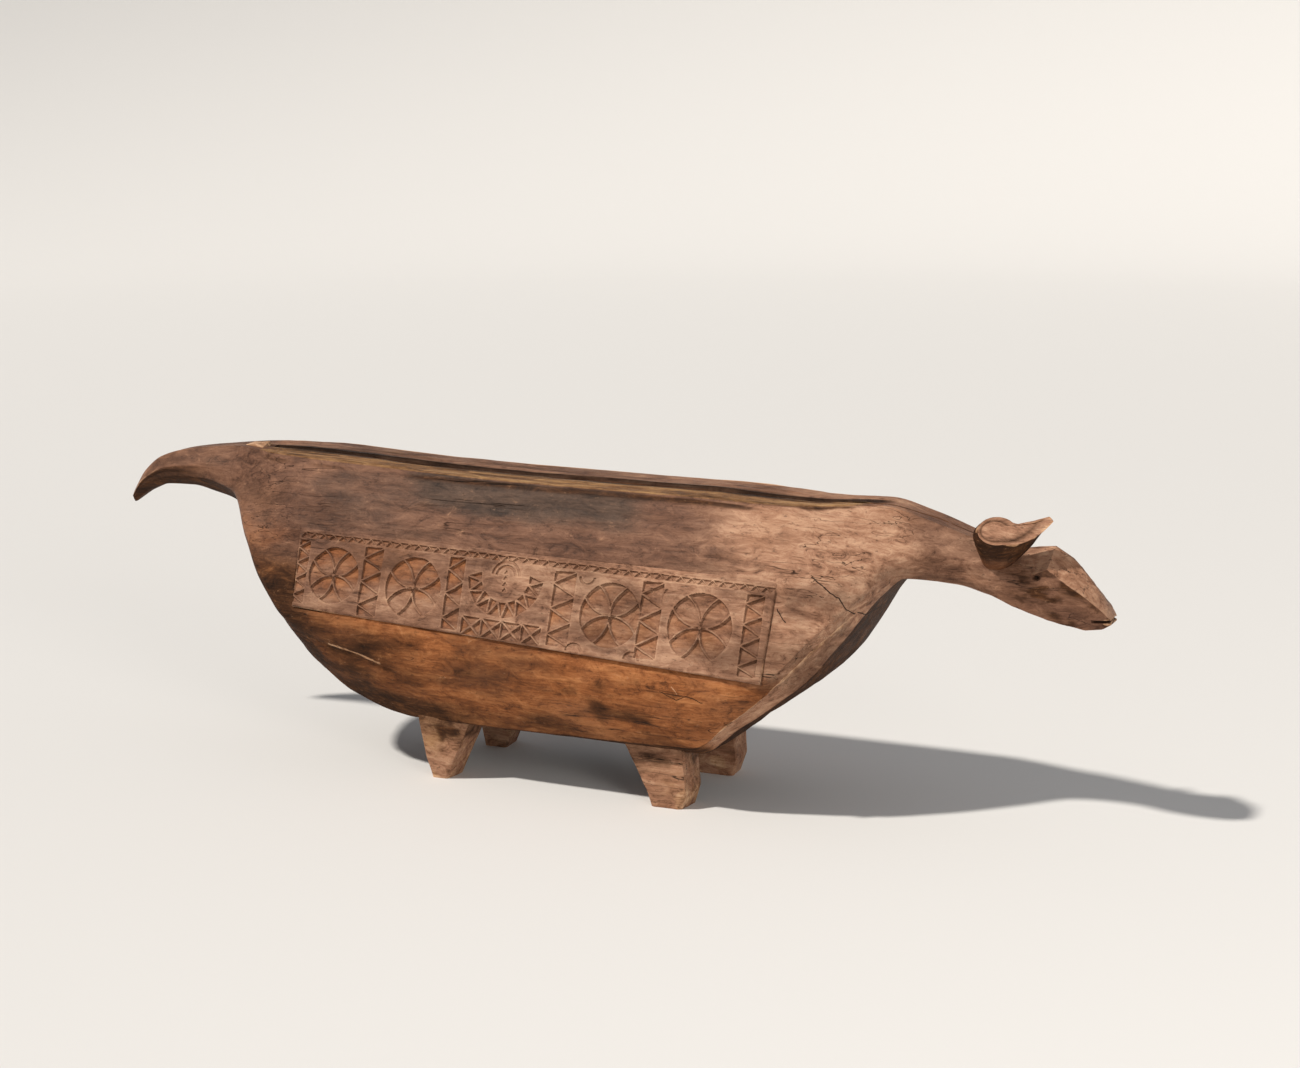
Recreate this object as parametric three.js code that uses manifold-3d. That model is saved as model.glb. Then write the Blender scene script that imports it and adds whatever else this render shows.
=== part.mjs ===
// A slit drum carved from one log in the form of a horned animal: a hollow body with a narrow slit
// along the back, a hooked tail, a tapering neck with a wedge-shaped head, and four short legs.
// Millimetres. +X runs from tail to head, +Z is up, and the floor is at z = 0.
import * as THREE from 'three';
import { mergeVertices } from 'three/addons/utils/BufferGeometryUtils.js';
import { ConvexGeometry } from 'three/addons/geometries/ConvexGeometry.js';
import Module from 'manifold-3d';

const wasm = await Module();
wasm.setup();

// ---------------------------------------------------------------- driving dimensions
const LENGTH = 2710;
const WIDTH = 600;
const NOSE_X = LENGTH / 2;
const TAIL_X = -LENGTH / 2;
const HALF_WIDTH = WIDTH / 2;

// Outlines of the log's outer surface along its length, as [x, value].
const BACK_Z = [
  [TAIL_X, 637], [-1310, 700], [-1255, 742], [-1180, 766], [-1080, 781], [-950, 792], [-800, 790],
  [-460, 778], [0, 767], [340, 767], [620, 759], [800, 768], [905, 745], [1010, 711], [1120, 680],
];
const KEEL_Z = [
  [TAIL_X, 607], [-1300, 643], [-1230, 668], [-1150, 671], [-1086, 658], [-1010, 640], [-975, 600],
  [-940, 510], [-880, 425], [-820, 356], [-710, 264], [-600, 195], [-480, 147], [-380, 135],
  [390, 138], [500, 205], [600, 277], [680, 345], [745, 435], [820, 545], [870, 588], [982, 590],
  [1060, 572], [1120, 555],
];
const LIP_HALF = [
  [TAIL_X, 10], [-1300, 18], [-1100, 30], [-1000, 42], [-900, 84], [-820, 108], [-700, 120],
  [440, 120], [580, 104], [700, 76], [790, 62], [860, 54], [980, 46], [1120, 34],
];
const SHOULDER_HALF = [
  [TAIL_X, 18], [-1300, 42], [-1210, 58], [-1100, 64], [-1000, 70], [-900, 128], [-820, 170],
  [-720, 204], [600, 206], [700, 190], [790, 146], [860, 104], [980, 76], [1120, 66],
];
const SHOULDER_Z = [
  [TAIL_X, 627], [-1300, 682], [-1210, 724], [-1100, 735], [-1000, 734], [-900, 692], [-820, 662],
  [-720, 636], [600, 620], [700, 622], [790, 642], [860, 674], [980, 662], [1120, 632],
];
const FLANK_HALF = [
  [TAIL_X, 16], [-1300, 38], [-1210, 52], [-1100, 62], [-1000, 80], [-900, 176], [-820, 236],
  [-720, 272], [600, 278], [700, 244], [790, 176], [860, 108], [980, 74], [1120, 64],
];
const FLANK_Z = [
  [TAIL_X, 622], [-1300, 672], [-1210, 706], [-1100, 704], [-1000, 686], [-900, 600], [-820, 508],
  [-720, 432], [-380, 405], [500, 390], [600, 402], [700, 492], [790, 572], [860, 636], [980, 630],
  [1120, 598],
];
const BILGE_HALF = [
  [TAIL_X, 11], [-1300, 22], [-1210, 30], [-1100, 36], [-1000, 50], [-900, 92], [-820, 132],
  [-700, 178], [-380, 205], [390, 244], [500, 262], [600, 266], [700, 232], [790, 150], [860, 78],
  [980, 62], [1120, 54],
];
const BILGE_Z = [
  [TAIL_X, 612], [-1300, 650], [-1210, 672], [-1100, 674], [-1000, 652], [-960, 590], [-900, 478],
  [-820, 376], [-700, 276], [-560, 196], [-380, 156], [390, 172], [500, 250], [600, 338],
  [700, 446], [790, 536], [860, 600], [982, 597], [1120, 562],
];
// Where the log's outline is sampled: closer together round the stern and the chest.
const STATIONS = [
  TAIL_X, -1332, -1300, -1255, -1210, -1150, -1086, -1035, -1000, -975, -950, -925, -900, -860,
  -820, -770, -720, -600, -480, -380, 0, 390, 440, 500, 550, 600, 650, 700, 745, 790, 830, 862,
  905, 982, 1060, 1120,
];
const FLANK_STEPS = 9;
const LOW_BULGE = 0.11;
const BELLY_FRACTIONS = [[0.74, 0.2], [0.4, 0.05], [0, 0]];
const LEAST_HALF = 8;
const LIP_DROP = 12;
const SHOULDER_DROP = 4;

// The hollow follows the outer surface with these walls; the lips beside the slit are deeper.
const WALL = 58;
const LIP_DEPTH = 96;
const FLOOR_WALL = 62;
const CHAMBER_BACK_X = -800;
const CHAMBER_FRONT_X = 735;
const CHAMBER_STEPS = 9;
const SLIT_HALF = 17;
const SLIT_NARROWING = 0.35;
const SLIT_EXTRA = 40;
const SLIT_BACK_X = -905;
const SLIT_FRONT_X = 800;
const SLIT_STEPS = 10;
// The slit's middle line wanders off towards the near lip at its front end.
const SLIT_Y = [[SLIT_BACK_X, 0], [625, 0], [SLIT_FRONT_X, -34]];

// The carved panels: planes that lean in towards the back, with raised lower edges.
const PANEL_FOOT_Z = 366;
const PANEL_LEAN = 0.35;
const PANEL_CORNERS = [[-700, 431], [590, PANEL_FOOT_Z], [600, 590], [-710, 620]];
const PANEL_THICK = 30;
const PANEL_CLEAR = 60;
const CHIP_DEPTH = 8;
const CHIP_SHALLOW = 2.5;
const FINE_DEPTH = 5;
const CHIP_RISE = 4;
const RIDGE = 2.6;
const TRIANGLE_RIDGE = 4.2;
const BORDER_PITCH = 27;
const BORDER_HEIGHT = 15;

const WOOD = { color: 0x7a4f37, roughness: 0.72, metalness: 0 };

// ---------------------------------------------------------------- small helpers
// Smooth value of an outline at x: a cubic whose slopes never overshoot the outline's points.
function along(outline, x) {
  const last = outline.length - 1;
  if (x <= outline[0][0]) return outline[0][1];
  if (x >= outline[last][0]) return outline[last][1];
  const chord = (i) => (outline[i + 1][1] - outline[i][1]) / (outline[i + 1][0] - outline[i][0]);
  const slope = (i) => {
    if (i === 0) return chord(0);
    if (i === last) return chord(last - 1);
    const before = chord(i - 1);
    const after = chord(i);
    return before * after <= 0 ? 0 : (2 * before * after) / (before + after);
  };
  const i = outline.findIndex((point) => point[0] > x) - 1;
  const [x0, a] = outline[i];
  const [x1, b] = outline[i + 1];
  const t = (x - x0) / (x1 - x0);
  const span = x1 - x0;
  const rise = t * t * (3 - 2 * t);
  const leave = slope(i) * span * t * (1 - t) * (1 - t);
  const arrive = slope(i + 1) * span * t * t * (t - 1);
  return a + (b - a) * rise + leave + arrive;
}

// A closed solid through rings of equal length, with a flat fan over each end.
function loft(rings) {
  const count = rings[0].length;
  const points = rings.flat();
  const faces = [];
  for (let r = 0; r + 1 < rings.length; r += 1) {
    for (let k = 0; k < count; k += 1) {
      const a = r * count + k;
      const b = r * count + ((k + 1) % count);
      faces.push(a, b, b + count, a, b + count, a + count);
    }
  }
  const cap = THREE.ShapeUtils.triangulateShape(flatten(rings[0]), []);
  const end = (rings.length - 1) * count;
  for (const [a, b, c] of cap) {
    faces.push(c, b, a);
    faces.push(a + end, b + end, c + end);
  }
  return indexed(points, faces);
}

// A ring seen square on, as 2-D points, so that its end can be covered with triangles.
function flatten(ring) {
  const middle = ring.reduce((sum, p) => sum.add(p), new THREE.Vector3()).divideScalar(ring.length);
  const first = ring[0].clone().sub(middle).normalize();
  const normal = new THREE.Vector3();
  ring.forEach((p, i) => {
    const next = ring[(i + 1) % ring.length];
    normal.add(p.clone().sub(middle).cross(next.clone().sub(middle)));
  });
  normal.normalize();
  const second = normal.clone().cross(first).normalize();
  const third = second.clone().cross(normal);
  return ring.map((p) => {
    const d = p.clone().sub(middle);
    return new THREE.Vector2(d.dot(third), d.dot(second));
  });
}

function indexed(points, faces) {
  const geometry = new THREE.BufferGeometry();
  const values = points.flatMap((p) => p.toArray());
  geometry.setAttribute('position', new THREE.Float32BufferAttribute(values, 3));
  geometry.setIndex(faces);
  return geometry;
}

function toSolid(geometry) {
  const bare = geometry.clone();
  bare.deleteAttribute('normal');
  bare.deleteAttribute('uv');
  const merged = mergeVertices(bare, 1e-3);
  return new wasm.Manifold(new wasm.Mesh({
    numProp: 3,
    vertProperties: new Float32Array(merged.attributes.position.array),
    triVerts: new Uint32Array(merged.index.array),
  }));
}

function toGeometry(solid) {
  const mesh = solid.getMesh();
  const geometry = new THREE.BufferGeometry();
  geometry.setAttribute('position', new THREE.Float32BufferAttribute(mesh.vertProperties, 3));
  geometry.setIndex(Array.from(mesh.triVerts));
  return geometry;
}

// A box between its lowest and highest corners.
function box(low, high) {
  const size = low.map((value, i) => high[i] - value);
  const middle = low.map((value, i) => (value + high[i]) / 2);
  const geometry = new THREE.BoxGeometry(...size);
  geometry.translate(...middle);
  return toSolid(geometry);
}

function between(from, to, steps) {
  return Array.from({ length: steps + 1 }, (_, i) => from + ((to - from) * i) / steps);
}

// ---------------------------------------------------------------- the log's outside and inside
// One cross-section of the log at x, as a ring of points. The walls are 0 for the outside.
function section(x, wall, lipDepth, floorWall) {
  const half = (outline) => Math.max(along(outline, x) - wall, LEAST_HALF);
  const top = along(BACK_Z, x) - lipDepth;
  const lip = [half(LIP_HALF), top];
  const shoulder = [half(SHOULDER_HALF), Math.min(along(SHOULDER_Z, x), top - LIP_DROP)];
  const flank = [half(FLANK_HALF), Math.min(along(FLANK_Z, x), shoulder[1] - SHOULDER_DROP)];
  const bilge = [half(BILGE_HALF), along(BILGE_Z, x) + floorWall];
  const keel = along(KEEL_Z, x) + floorWall;
  const drop = flank[1] - bilge[1];
  const low = [(flank[0] + bilge[0]) / 2 + LOW_BULGE * drop, (flank[1] + bilge[1]) / 2];
  const corners = [lip, shoulder, flank, low, bilge].map(([y, z]) => new THREE.Vector2(y, z));
  const side = new THREE.SplineCurve(corners);
  const right = side.getPoints(FLANK_STEPS).map((p) => [p.x, p.y]);
  for (const [across, up] of BELLY_FRACTIONS) {
    right.push([bilge[0] * across, keel + (bilge[1] - keel) * up]);
  }
  const left = right.slice(0, -1).reverse().map(([y, z]) => [-y, z]);
  return [[0, top], ...right, ...left].map(([y, z]) => new THREE.Vector3(x, y, z)).reverse();
}

const outside = () => toSolid(loft(STATIONS.map((x) => section(x, 0, 0, 0))));

function chamber() {
  const stations = between(CHAMBER_BACK_X, CHAMBER_FRONT_X, CHAMBER_STEPS);
  return toSolid(loft(stations.map((x) => section(x, WALL, LIP_DEPTH, FLOOR_WALL))));
}

// The slit is a little wider in the middle, where the drum is beaten.
function slit() {
  const rings = between(SLIT_BACK_X, SLIT_FRONT_X, SLIT_STEPS).map((x) => {
    const middle = (SLIT_BACK_X + SLIT_FRONT_X) / 2;
    const reach = (SLIT_FRONT_X - SLIT_BACK_X) / 2;
    const half = SLIT_HALF * (1 - SLIT_NARROWING * ((x - middle) / reach) ** 2);
    const low = along(BACK_Z, x) - LIP_DEPTH - SLIT_EXTRA;
    const high = along(BACK_Z, x) + SLIT_EXTRA;
    const side = along(SLIT_Y, x);
    return [[-half, low], [half, low], [half, high], [-half, high]]
      .map(([y, z]) => new THREE.Vector3(x, side + y, z));
  });
  return toSolid(loft(rings));
}

// ---------------------------------------------------------------- head, horn, tail knob and legs
// [x, ridge height, brow half-width, brow height, jaw half-width, jaw height]
const HEAD_SECTIONS = [
  [1040, 694, 66, 655, 52, 583],
  [1120, 681, 71, 633, 58, 557],
  [1172, 690, 72, 630, 60, 541],
  [1212, 694, 72, 651, 58, 529],
  [1255, 668, 68, 620, 54, 519],
  [1300, 620, 58, 590, 47, 512],
  [1338, 566, 42, 555, 38, 515],
  [NOSE_X, 538, 30, 535, 27, 524],
];
const MOUTH_HEIGHT = 529;
const MOUTH_GAP = 5;
const MOUTH_DEPTH = 34;
const MOUTH_REACH_Y = 80;
const MOUTH_CLEAR = 10;
const EYE = { x: 1186, y: 70, z: 622, radius: 7, depth: 16, sides: 8 };

function head() {
  const rings = HEAD_SECTIONS.map(([x, ridge, brow, browZ, jaw, jawZ]) => [
    [0, ridge], [-brow, browZ], [-jaw, jawZ], [jaw, jawZ], [brow, browZ],
  ].map(([y, z]) => new THREE.Vector3(x, y, z)));
  let solid = toSolid(loft(rings));
  const mouth = box(
    [NOSE_X - MOUTH_DEPTH, -MOUTH_REACH_Y, MOUTH_HEIGHT],
    [NOSE_X + MOUTH_CLEAR, MOUTH_REACH_Y, MOUTH_HEIGHT + MOUTH_GAP],
  );
  solid = solid.subtract(mouth);
  for (const side of [-1, 1]) {
    const eye = new THREE.CylinderGeometry(EYE.radius, EYE.radius, EYE.depth, EYE.sides);
    eye.translate(EYE.x, side * EYE.y, EYE.z);
    solid = solid.subtract(toSolid(eye));
  }
  return solid;
}

// The horn has a flat, drop-shaped upper face that leans outwards, and narrows to a small root.
const HORN_FACE = new THREE.Vector3(1105, -120, 725);
const HORN_NORMAL = new THREE.Vector3(0.1, -0.72, 0.68).normalize();
const HORN_ROOT = new THREE.Vector3(1072, -52, 636);
const HORN_ROOT_SCALE = 0.42;
const HORN_WAIST = 0.45;
const HORN_WAIST_SCALE = 0.74;
const HORN_STEPS = 5;
// The face's outline: a round end, then a long side out to the tip and another one back.
const HORN_ROUND = { x: -5, y: 20, across: 46, up: 39, from: 50, to: 300 };
const HORN_LOWER = [78, -16, 118, 66];
const HORN_TIP = [106, 78];
const HORN_UPPER = [58, 38, 24.6, 49.9];

function hornOutline() {
  const shape = new THREE.Shape();
  const { x, y, across, up, from, to } = HORN_ROUND;
  shape.absellipse(x, y, across, up, THREE.MathUtils.degToRad(from), THREE.MathUtils.degToRad(to));
  shape.quadraticCurveTo(...HORN_LOWER);
  shape.lineTo(...HORN_TIP);
  shape.quadraticCurveTo(...HORN_UPPER);
  return shape.getPoints(HORN_STEPS).slice(0, -1);
}

function horn() {
  const acrossFace = new THREE.Vector3(1, 0, 0).projectOnPlane(HORN_NORMAL).normalize();
  const upFace = HORN_NORMAL.clone().cross(acrossFace);
  const ring = (middle, scale) => hornOutline().map((p) => middle.clone()
    .addScaledVector(acrossFace, p.x * scale)
    .addScaledVector(upFace, p.y * scale));
  const waist = HORN_FACE.clone().lerp(HORN_ROOT, HORN_WAIST);
  const rings = [ring(HORN_ROOT, HORN_ROOT_SCALE), ring(waist, HORN_WAIST_SCALE), ring(HORN_FACE, 1)];
  return toSolid(loft(rings));
}

// The far horn is broken off: only a low, uneven stump is left.
const STUMP_CORNERS = [
  [1062, 40, 640], [1100, 40, 636], [1096, 74, 662], [1066, 72, 666],
  [1070, 60, 694], [1094, 62, 684], [1082, 82, 676],
];
// A split lump of wood stands up behind the tail end of the slit.
const KNOB_CORNERS = [
  [-1000, -38, 770], [-1000, 24, 770], [-912, -60, 770], [-912, 34, 770],
  [-984, -24, 792], [-978, 10, 796], [-940, -40, 800], [-930, 12, 800], [-915, -48, 792],
];

const lump = (corners) => toSolid(new ConvexGeometry(corners.map((c) => new THREE.Vector3(...c))));

// Each leg tapers down; its foot is a flat face on the floor, with a worn bulge above it.
const LEG_TOP_Z = 200;
const LEG_INNER_Y = 104;
const LEG_OUTER_Y = 214;
const LEG_BULGE_Z = 46;
const LEG_BULGE_INSET = 8;
const LEG_FOOT_INSET = 14;
const LEGS = {
  front: { top: [176, 352], foot: [252, 356], bulge: [246, 368] },
  rear: { top: [-384, -206], foot: [-360, -292], bulge: [-364, -276] },
};

function leg({ top, foot, bulge }, side) {
  const level = (z, [x0, x1], inset) => [
    [x0, LEG_INNER_Y + inset, z], [x1, LEG_INNER_Y + inset, z],
    [x0 + inset, LEG_OUTER_Y - inset, z], [x1 - inset / 2, LEG_OUTER_Y - inset, z],
  ];
  const corners = [
    ...level(LEG_TOP_Z, top, 0),
    ...level(LEG_BULGE_Z, bulge, LEG_BULGE_INSET),
    ...level(0, foot, LEG_FOOT_INSET),
  ];
  return lump(corners.map(([x, y, z]) => [x, side * y, z]));
}

// ---------------------------------------------------------------- the carved panels
// A panel's own frame: u along the log, v up the leaning plane from its foot, and w outwards.
function panelMatrix(side) {
  const lean = Math.atan(PANEL_LEAN);
  const u = new THREE.Vector3(-side, 0, 0);
  const v = new THREE.Vector3(0, -side * Math.sin(lean), Math.cos(lean));
  const w = new THREE.Vector3(0, side * Math.cos(lean), Math.sin(lean));
  return new THREE.Matrix4().makeBasis(u, v, w).setPosition(0, side * HALF_WIDTH, PANEL_FOOT_Z);
}

const upPanel = (z) => (z - PANEL_FOOT_Z) * Math.hypot(1, PANEL_LEAN);

// A prism over a flat outline, with its own depth below the panel's face at each point.
function prism(outline, rise, depthAt) {
  const count = outline.length;
  const clockwise = THREE.ShapeUtils.isClockWise(outline);
  const ring = clockwise ? outline.slice().reverse() : outline;
  const points = [
    ...ring.map((p) => new THREE.Vector3(p.x, p.y, -depthAt(p))),
    ...ring.map((p) => new THREE.Vector3(p.x, p.y, rise)),
  ];
  const faces = [];
  for (const [a, b, c] of THREE.ShapeUtils.triangulateShape(ring, [])) {
    faces.push(c, b, a);
    faces.push(a + count, b + count, c + count);
  }
  for (let k = 0; k < count; k += 1) {
    const next = (k + 1) % count;
    faces.push(k, next, next + count, k, next + count, k + count);
  }
  return indexed(points, faces);
}

// One chip: cut deepest along its upper edge, and running out shallow at its lower edge.
function chip(outline, depth = CHIP_DEPTH) {
  const low = Math.min(...outline.map((p) => p.y));
  const high = Math.max(...outline.map((p) => p.y));
  const depthAt = (p) => CHIP_SHALLOW + (depth - CHIP_SHALLOW) * ((p.y - low) / (high - low)) ** 2;
  return prism(outline, CHIP_RISE, depthAt);
}

// Corners drawn in towards the middle, so that a thin ridge stays between neighbouring chips.
function drawnIn(outline, by) {
  const middle = outline.reduce((sum, p) => sum.add(p), new THREE.Vector2()).divideScalar(outline.length);
  return outline.map((p) => {
    const reach = p.distanceTo(middle);
    return middle.clone().lerp(p, Math.max(reach - by, 1) / reach);
  });
}

const triangle = (a, b, c) => chip(drawnIn([a, b, c], TRIANGLE_RIDGE));
const at = (u, v) => new THREE.Vector2(u, v);

// A compass-drawn roundel: four petals in a cross, with four curved sectors between them.
// Half a petal's spread falls, in degrees, from the first value at the middle to the second at the rim.
const PETAL_SPREAD = [47, 17];
const PETAL_STEPS = [0.32, 0.68];
const PETAL_START = 0.09;
const PETAL_SHARES = [0, 0.5, 1];
const SECTOR_START = 0.12;
const SECTOR_SHARES = [0, 0.33, 0.67, 1];

function roundel(u, v, radius) {
  const chips = [];
  const span = radius - RIDGE;
  const turn = (share, angle) => at(u + span * share * Math.cos(angle), v + span * share * Math.sin(angle));
  const spread = (t) => THREE.MathUtils.degToRad(THREE.MathUtils.lerp(...PETAL_SPREAD, t));
  const field = (start, from, to, edgeTurn, shares) => chip([
    turn(start, (from + to) / 2),
    ...PETAL_STEPS.map((t) => turn(t, to + edgeTurn(t))),
    ...shares.map((share) => turn(1, THREE.MathUtils.lerp(to + edgeTurn(1), from - edgeTurn(1), share))),
    ...PETAL_STEPS.slice().reverse().map((t) => turn(t, from - edgeTurn(t))),
  ]);
  const ridgeTurn = (t) => RIDGE / (span * t);
  for (let k = 0; k < 4; k += 1) {
    const axis = Math.PI / 4 + (k * Math.PI) / 2;
    const next = axis + Math.PI / 2;
    chips.push(field(PETAL_START, axis, axis, (t) => spread(t) - ridgeTurn(t), PETAL_SHARES));
    chips.push(field(SECTOR_START, axis, next, (t) => -spread(t) - ridgeTurn(t), SECTOR_SHARES));
  }
  return chips;
}

// A column of triangles on both sides of a zigzag ridge that climbs between its two edges.
function zigzagColumn(foot, top, width, teeth) {
  const chips = [];
  const edge = (t, side) => foot.clone().lerp(top, t).add(at((side * width) / 2, 0));
  for (let k = 0; k < teeth; k += 1) {
    const side = k % 2 === 0 ? 1 : -1;
    const low = edge(k / teeth, side);
    const high = edge((k + 2) / teeth, side);
    const apex = edge((k + 1) / teeth, -side);
    if (k + 2 <= teeth) chips.push(triangle(low, high, apex));
  }
  return chips;
}

// The fine row of small triangles under the panel's upper edge.
function border(from, to) {
  const count = Math.floor(from.distanceTo(to) / BORDER_PITCH);
  const chips = [];
  for (let k = 0; k < count; k += 1) {
    const left = from.clone().lerp(to, k / count);
    const right = from.clone().lerp(to, (k + 1) / count);
    const apex = left.clone().lerp(right, 0.5);
    apex.y += BORDER_HEIGHT;
    chips.push(chip(drawnIn([left, right, apex], RIDGE), FINE_DEPTH));
  }
  return chips;
}

// Part of a ring, cut as short curved chips: it starts at an angle in degrees.
const BAND = { half: 3, pitch: 29, cut: 25 };

const turned = (u, v, r, degrees) => {
  const angle = THREE.MathUtils.degToRad(degrees);
  return at(u + r * Math.cos(angle), v + r * Math.sin(angle));
};

function arcBand(u, v, radius, start, teeth) {
  const chips = [];
  for (let k = 0; k < teeth; k += 1) {
    const from = start + k * BAND.pitch;
    const to = from + BAND.cut;
    const [near, far] = [radius - BAND.half, radius + BAND.half];
    const corners = [[near, from], [far, from], [far, to], [near, to]];
    chips.push(chip(corners.map(([r, degrees]) => turned(u, v, r, degrees)), FINE_DEPTH));
  }
  return chips;
}

// The middle field: a small double arch over a stack of triangles, inside a half ring of rays.
const ARCH = { radii: [26, 37], from: 4, teeth: 6 };
const STACK = { count: 4, top: 6, pitch: 15, half: 7, height: 11 };
const RAYS = { count: 9, from: 172, sweep: 196, inner: 68, outer: 100 };

function sunField(u, v) {
  const chips = ARCH.radii.flatMap((radius) => arcBand(u, v, radius, ARCH.from, ARCH.teeth));
  for (let k = 0; k < STACK.count; k += 1) {
    const y = v + STACK.top - k * STACK.pitch;
    chips.push(chip([at(u - STACK.half, y), at(u + STACK.half, y), at(u, y + STACK.height)], FINE_DEPTH));
  }
  const step = RAYS.sweep / RAYS.count;
  for (let k = 0; k < RAYS.count; k += 1) {
    const from = RAYS.from + k * step;
    const point = turned(u, v, RAYS.outer, from + step / 2);
    chips.push(triangle(turned(u, v, RAYS.inner, from), turned(u, v, RAYS.inner, from + step), point));
  }
  return chips;
}

// A band of crosses: each cell is cut as four triangles that meet at its middle.
function crossBand(left, right, height, cells) {
  const chips = [];
  for (let k = 0; k < cells; k += 1) {
    const a = left.clone().lerp(right, k / cells);
    const b = left.clone().lerp(right, (k + 1) / cells);
    const c = b.clone().add(at(0, height));
    const d = a.clone().add(at(0, height));
    const middle = a.clone().lerp(c, 0.5);
    for (const [p, q] of [[a, b], [b, c], [c, d], [d, a]]) chips.push(triangle(p, q, middle));
  }
  return chips;
}

// The near flank's carving. Columns are [u, foot z, top z, width, teeth]; roundels [u, z, radius].
const NEAR_COLUMNS = [
  [-687, 440, 596, 36, 8], [-484, 424, 592, 58, 6], [-246, 414, 587, 48, 6],
  [53, 402, 578, 62, 6], [288, 394, 573, 60, 6], [553, 378, 566, 50, 8],
];
const NEAR_ROUNDELS = [[-592, 515, 74], [-361, 504, 80], [183, 486, 82], [420, 478, 86]];
const NEAR_BORDER = [[-705, 600], [590, 571]];
const SUN_MIDDLE = [-108, 552];
const CROSS_BAND = [[-214, 407], [8, 399]];
const CROSS_HEIGHT = 48;
const CROSS_CELLS = 4;
// Small half rounds fill the corners beside the columns: [u, z, first angle].
const HALF_ROUNDS = [[112, 570, 184], [304, 560, 184], [100, 394, 4], [254, 388, 4]];
const HALF_ROUND_RADIUS = 20;
const HALF_ROUND_TEETH = 6;
// The far flank is carved more plainly: three roundels between short zigzag columns.
const FAR_COLUMNS = [
  [-545, 404, 548, 50, 6], [-170, 414, 558, 50, 6], [230, 424, 568, 50, 6], [630, 436, 580, 50, 6],
];
const FAR_ROUNDELS = [[-370, 482, 80], [30, 492, 80], [430, 502, 80]];
const FAR_BORDER = [[-590, 571], [705, 600]];

const onPanel = ([u, z]) => at(u, upPanel(z));

function rowOfMotifs(columns, roundels, edge) {
  return [
    ...border(...edge.map(onPanel)),
    ...columns.flatMap(([u, low, high, width, teeth]) =>
      zigzagColumn(onPanel([u, low]), onPanel([u, high]), width, teeth)),
    ...roundels.flatMap(([u, z, radius]) => roundel(u, upPanel(z), radius)),
  ];
}

function nearCarving() {
  const middle = onPanel(SUN_MIDDLE);
  return [
    ...rowOfMotifs(NEAR_COLUMNS, NEAR_ROUNDELS, NEAR_BORDER),
    ...sunField(middle.x, middle.y),
    ...crossBand(...CROSS_BAND.map(onPanel), CROSS_HEIGHT, CROSS_CELLS),
    ...HALF_ROUNDS.flatMap(([u, z, from]) =>
      arcBand(u, upPanel(z), HALF_ROUND_RADIUS, from, HALF_ROUND_TEETH)),
  ];
}

const farCarving = () => rowOfMotifs(FAR_COLUMNS, FAR_ROUNDELS, FAR_BORDER);

// Cuts the flank back to the panel's plane, adds the raised slab, and takes out every chip.
function carve(log, side, chips) {
  const matrix = panelMatrix(side);
  const outline = PANEL_CORNERS.map(([x, z]) => at(-side * x, upPanel(z)));
  const clear = prism(outline, PANEL_CLEAR, () => 0).applyMatrix4(matrix);
  const slab = prism(outline, 0, () => PANEL_THICK).applyMatrix4(matrix);
  let solid = log.subtract(toSolid(clear)).add(toSolid(slab));
  for (const piece of chips) solid = solid.subtract(toSolid(piece.applyMatrix4(matrix)));
  return solid;
}

// ---------------------------------------------------------------- the drum
function drum() {
  let solid = outside().add(head()).add(horn()).add(lump(STUMP_CORNERS)).add(lump(KNOB_CORNERS));
  for (const side of [-1, 1]) {
    for (const name of ['front', 'rear']) solid = solid.add(leg(LEGS[name], side));
  }
  solid = carve(solid, -1, nearCarving());
  solid = carve(solid, 1, farCarving());
  return solid.subtract(chamber()).subtract(slit());
}

const group = new THREE.Group();
const body = new THREE.Mesh(toGeometry(drum()), new THREE.MeshStandardMaterial(WOOD));
body.name = 'drum';
group.add(body);

export default group;
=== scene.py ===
import math

import bmesh
import bpy
import numpy as np
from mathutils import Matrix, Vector


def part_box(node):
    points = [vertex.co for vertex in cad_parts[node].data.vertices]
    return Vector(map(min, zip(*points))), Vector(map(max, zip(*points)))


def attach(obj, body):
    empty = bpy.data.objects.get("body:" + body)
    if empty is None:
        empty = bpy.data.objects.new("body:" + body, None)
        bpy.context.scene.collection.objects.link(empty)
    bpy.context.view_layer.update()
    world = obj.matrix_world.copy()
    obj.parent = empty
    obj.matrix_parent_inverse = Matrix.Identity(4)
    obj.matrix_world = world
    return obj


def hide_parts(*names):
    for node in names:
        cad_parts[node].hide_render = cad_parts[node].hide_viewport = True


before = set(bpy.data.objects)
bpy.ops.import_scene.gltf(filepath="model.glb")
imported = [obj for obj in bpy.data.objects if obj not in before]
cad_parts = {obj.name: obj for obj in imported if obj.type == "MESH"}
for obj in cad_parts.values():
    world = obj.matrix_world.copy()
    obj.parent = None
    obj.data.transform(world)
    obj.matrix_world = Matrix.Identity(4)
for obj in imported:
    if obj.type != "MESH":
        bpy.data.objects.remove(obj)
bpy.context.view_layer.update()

LOW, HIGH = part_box("drum")
TAIL_X, NOSE_X = LOW[0], HIGH[0]
HALF_WIDTH = HIGH[1]
TOP_Z = HIGH[2]
MM = 0.001
# What the wood's colour depends on, besides its grain: a value from 0 to 1 at every point.
LAYERS = ("patina", "ochre", "soot_and_shade", "bruise", "pale", "gap", "tan_and_light")

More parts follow.
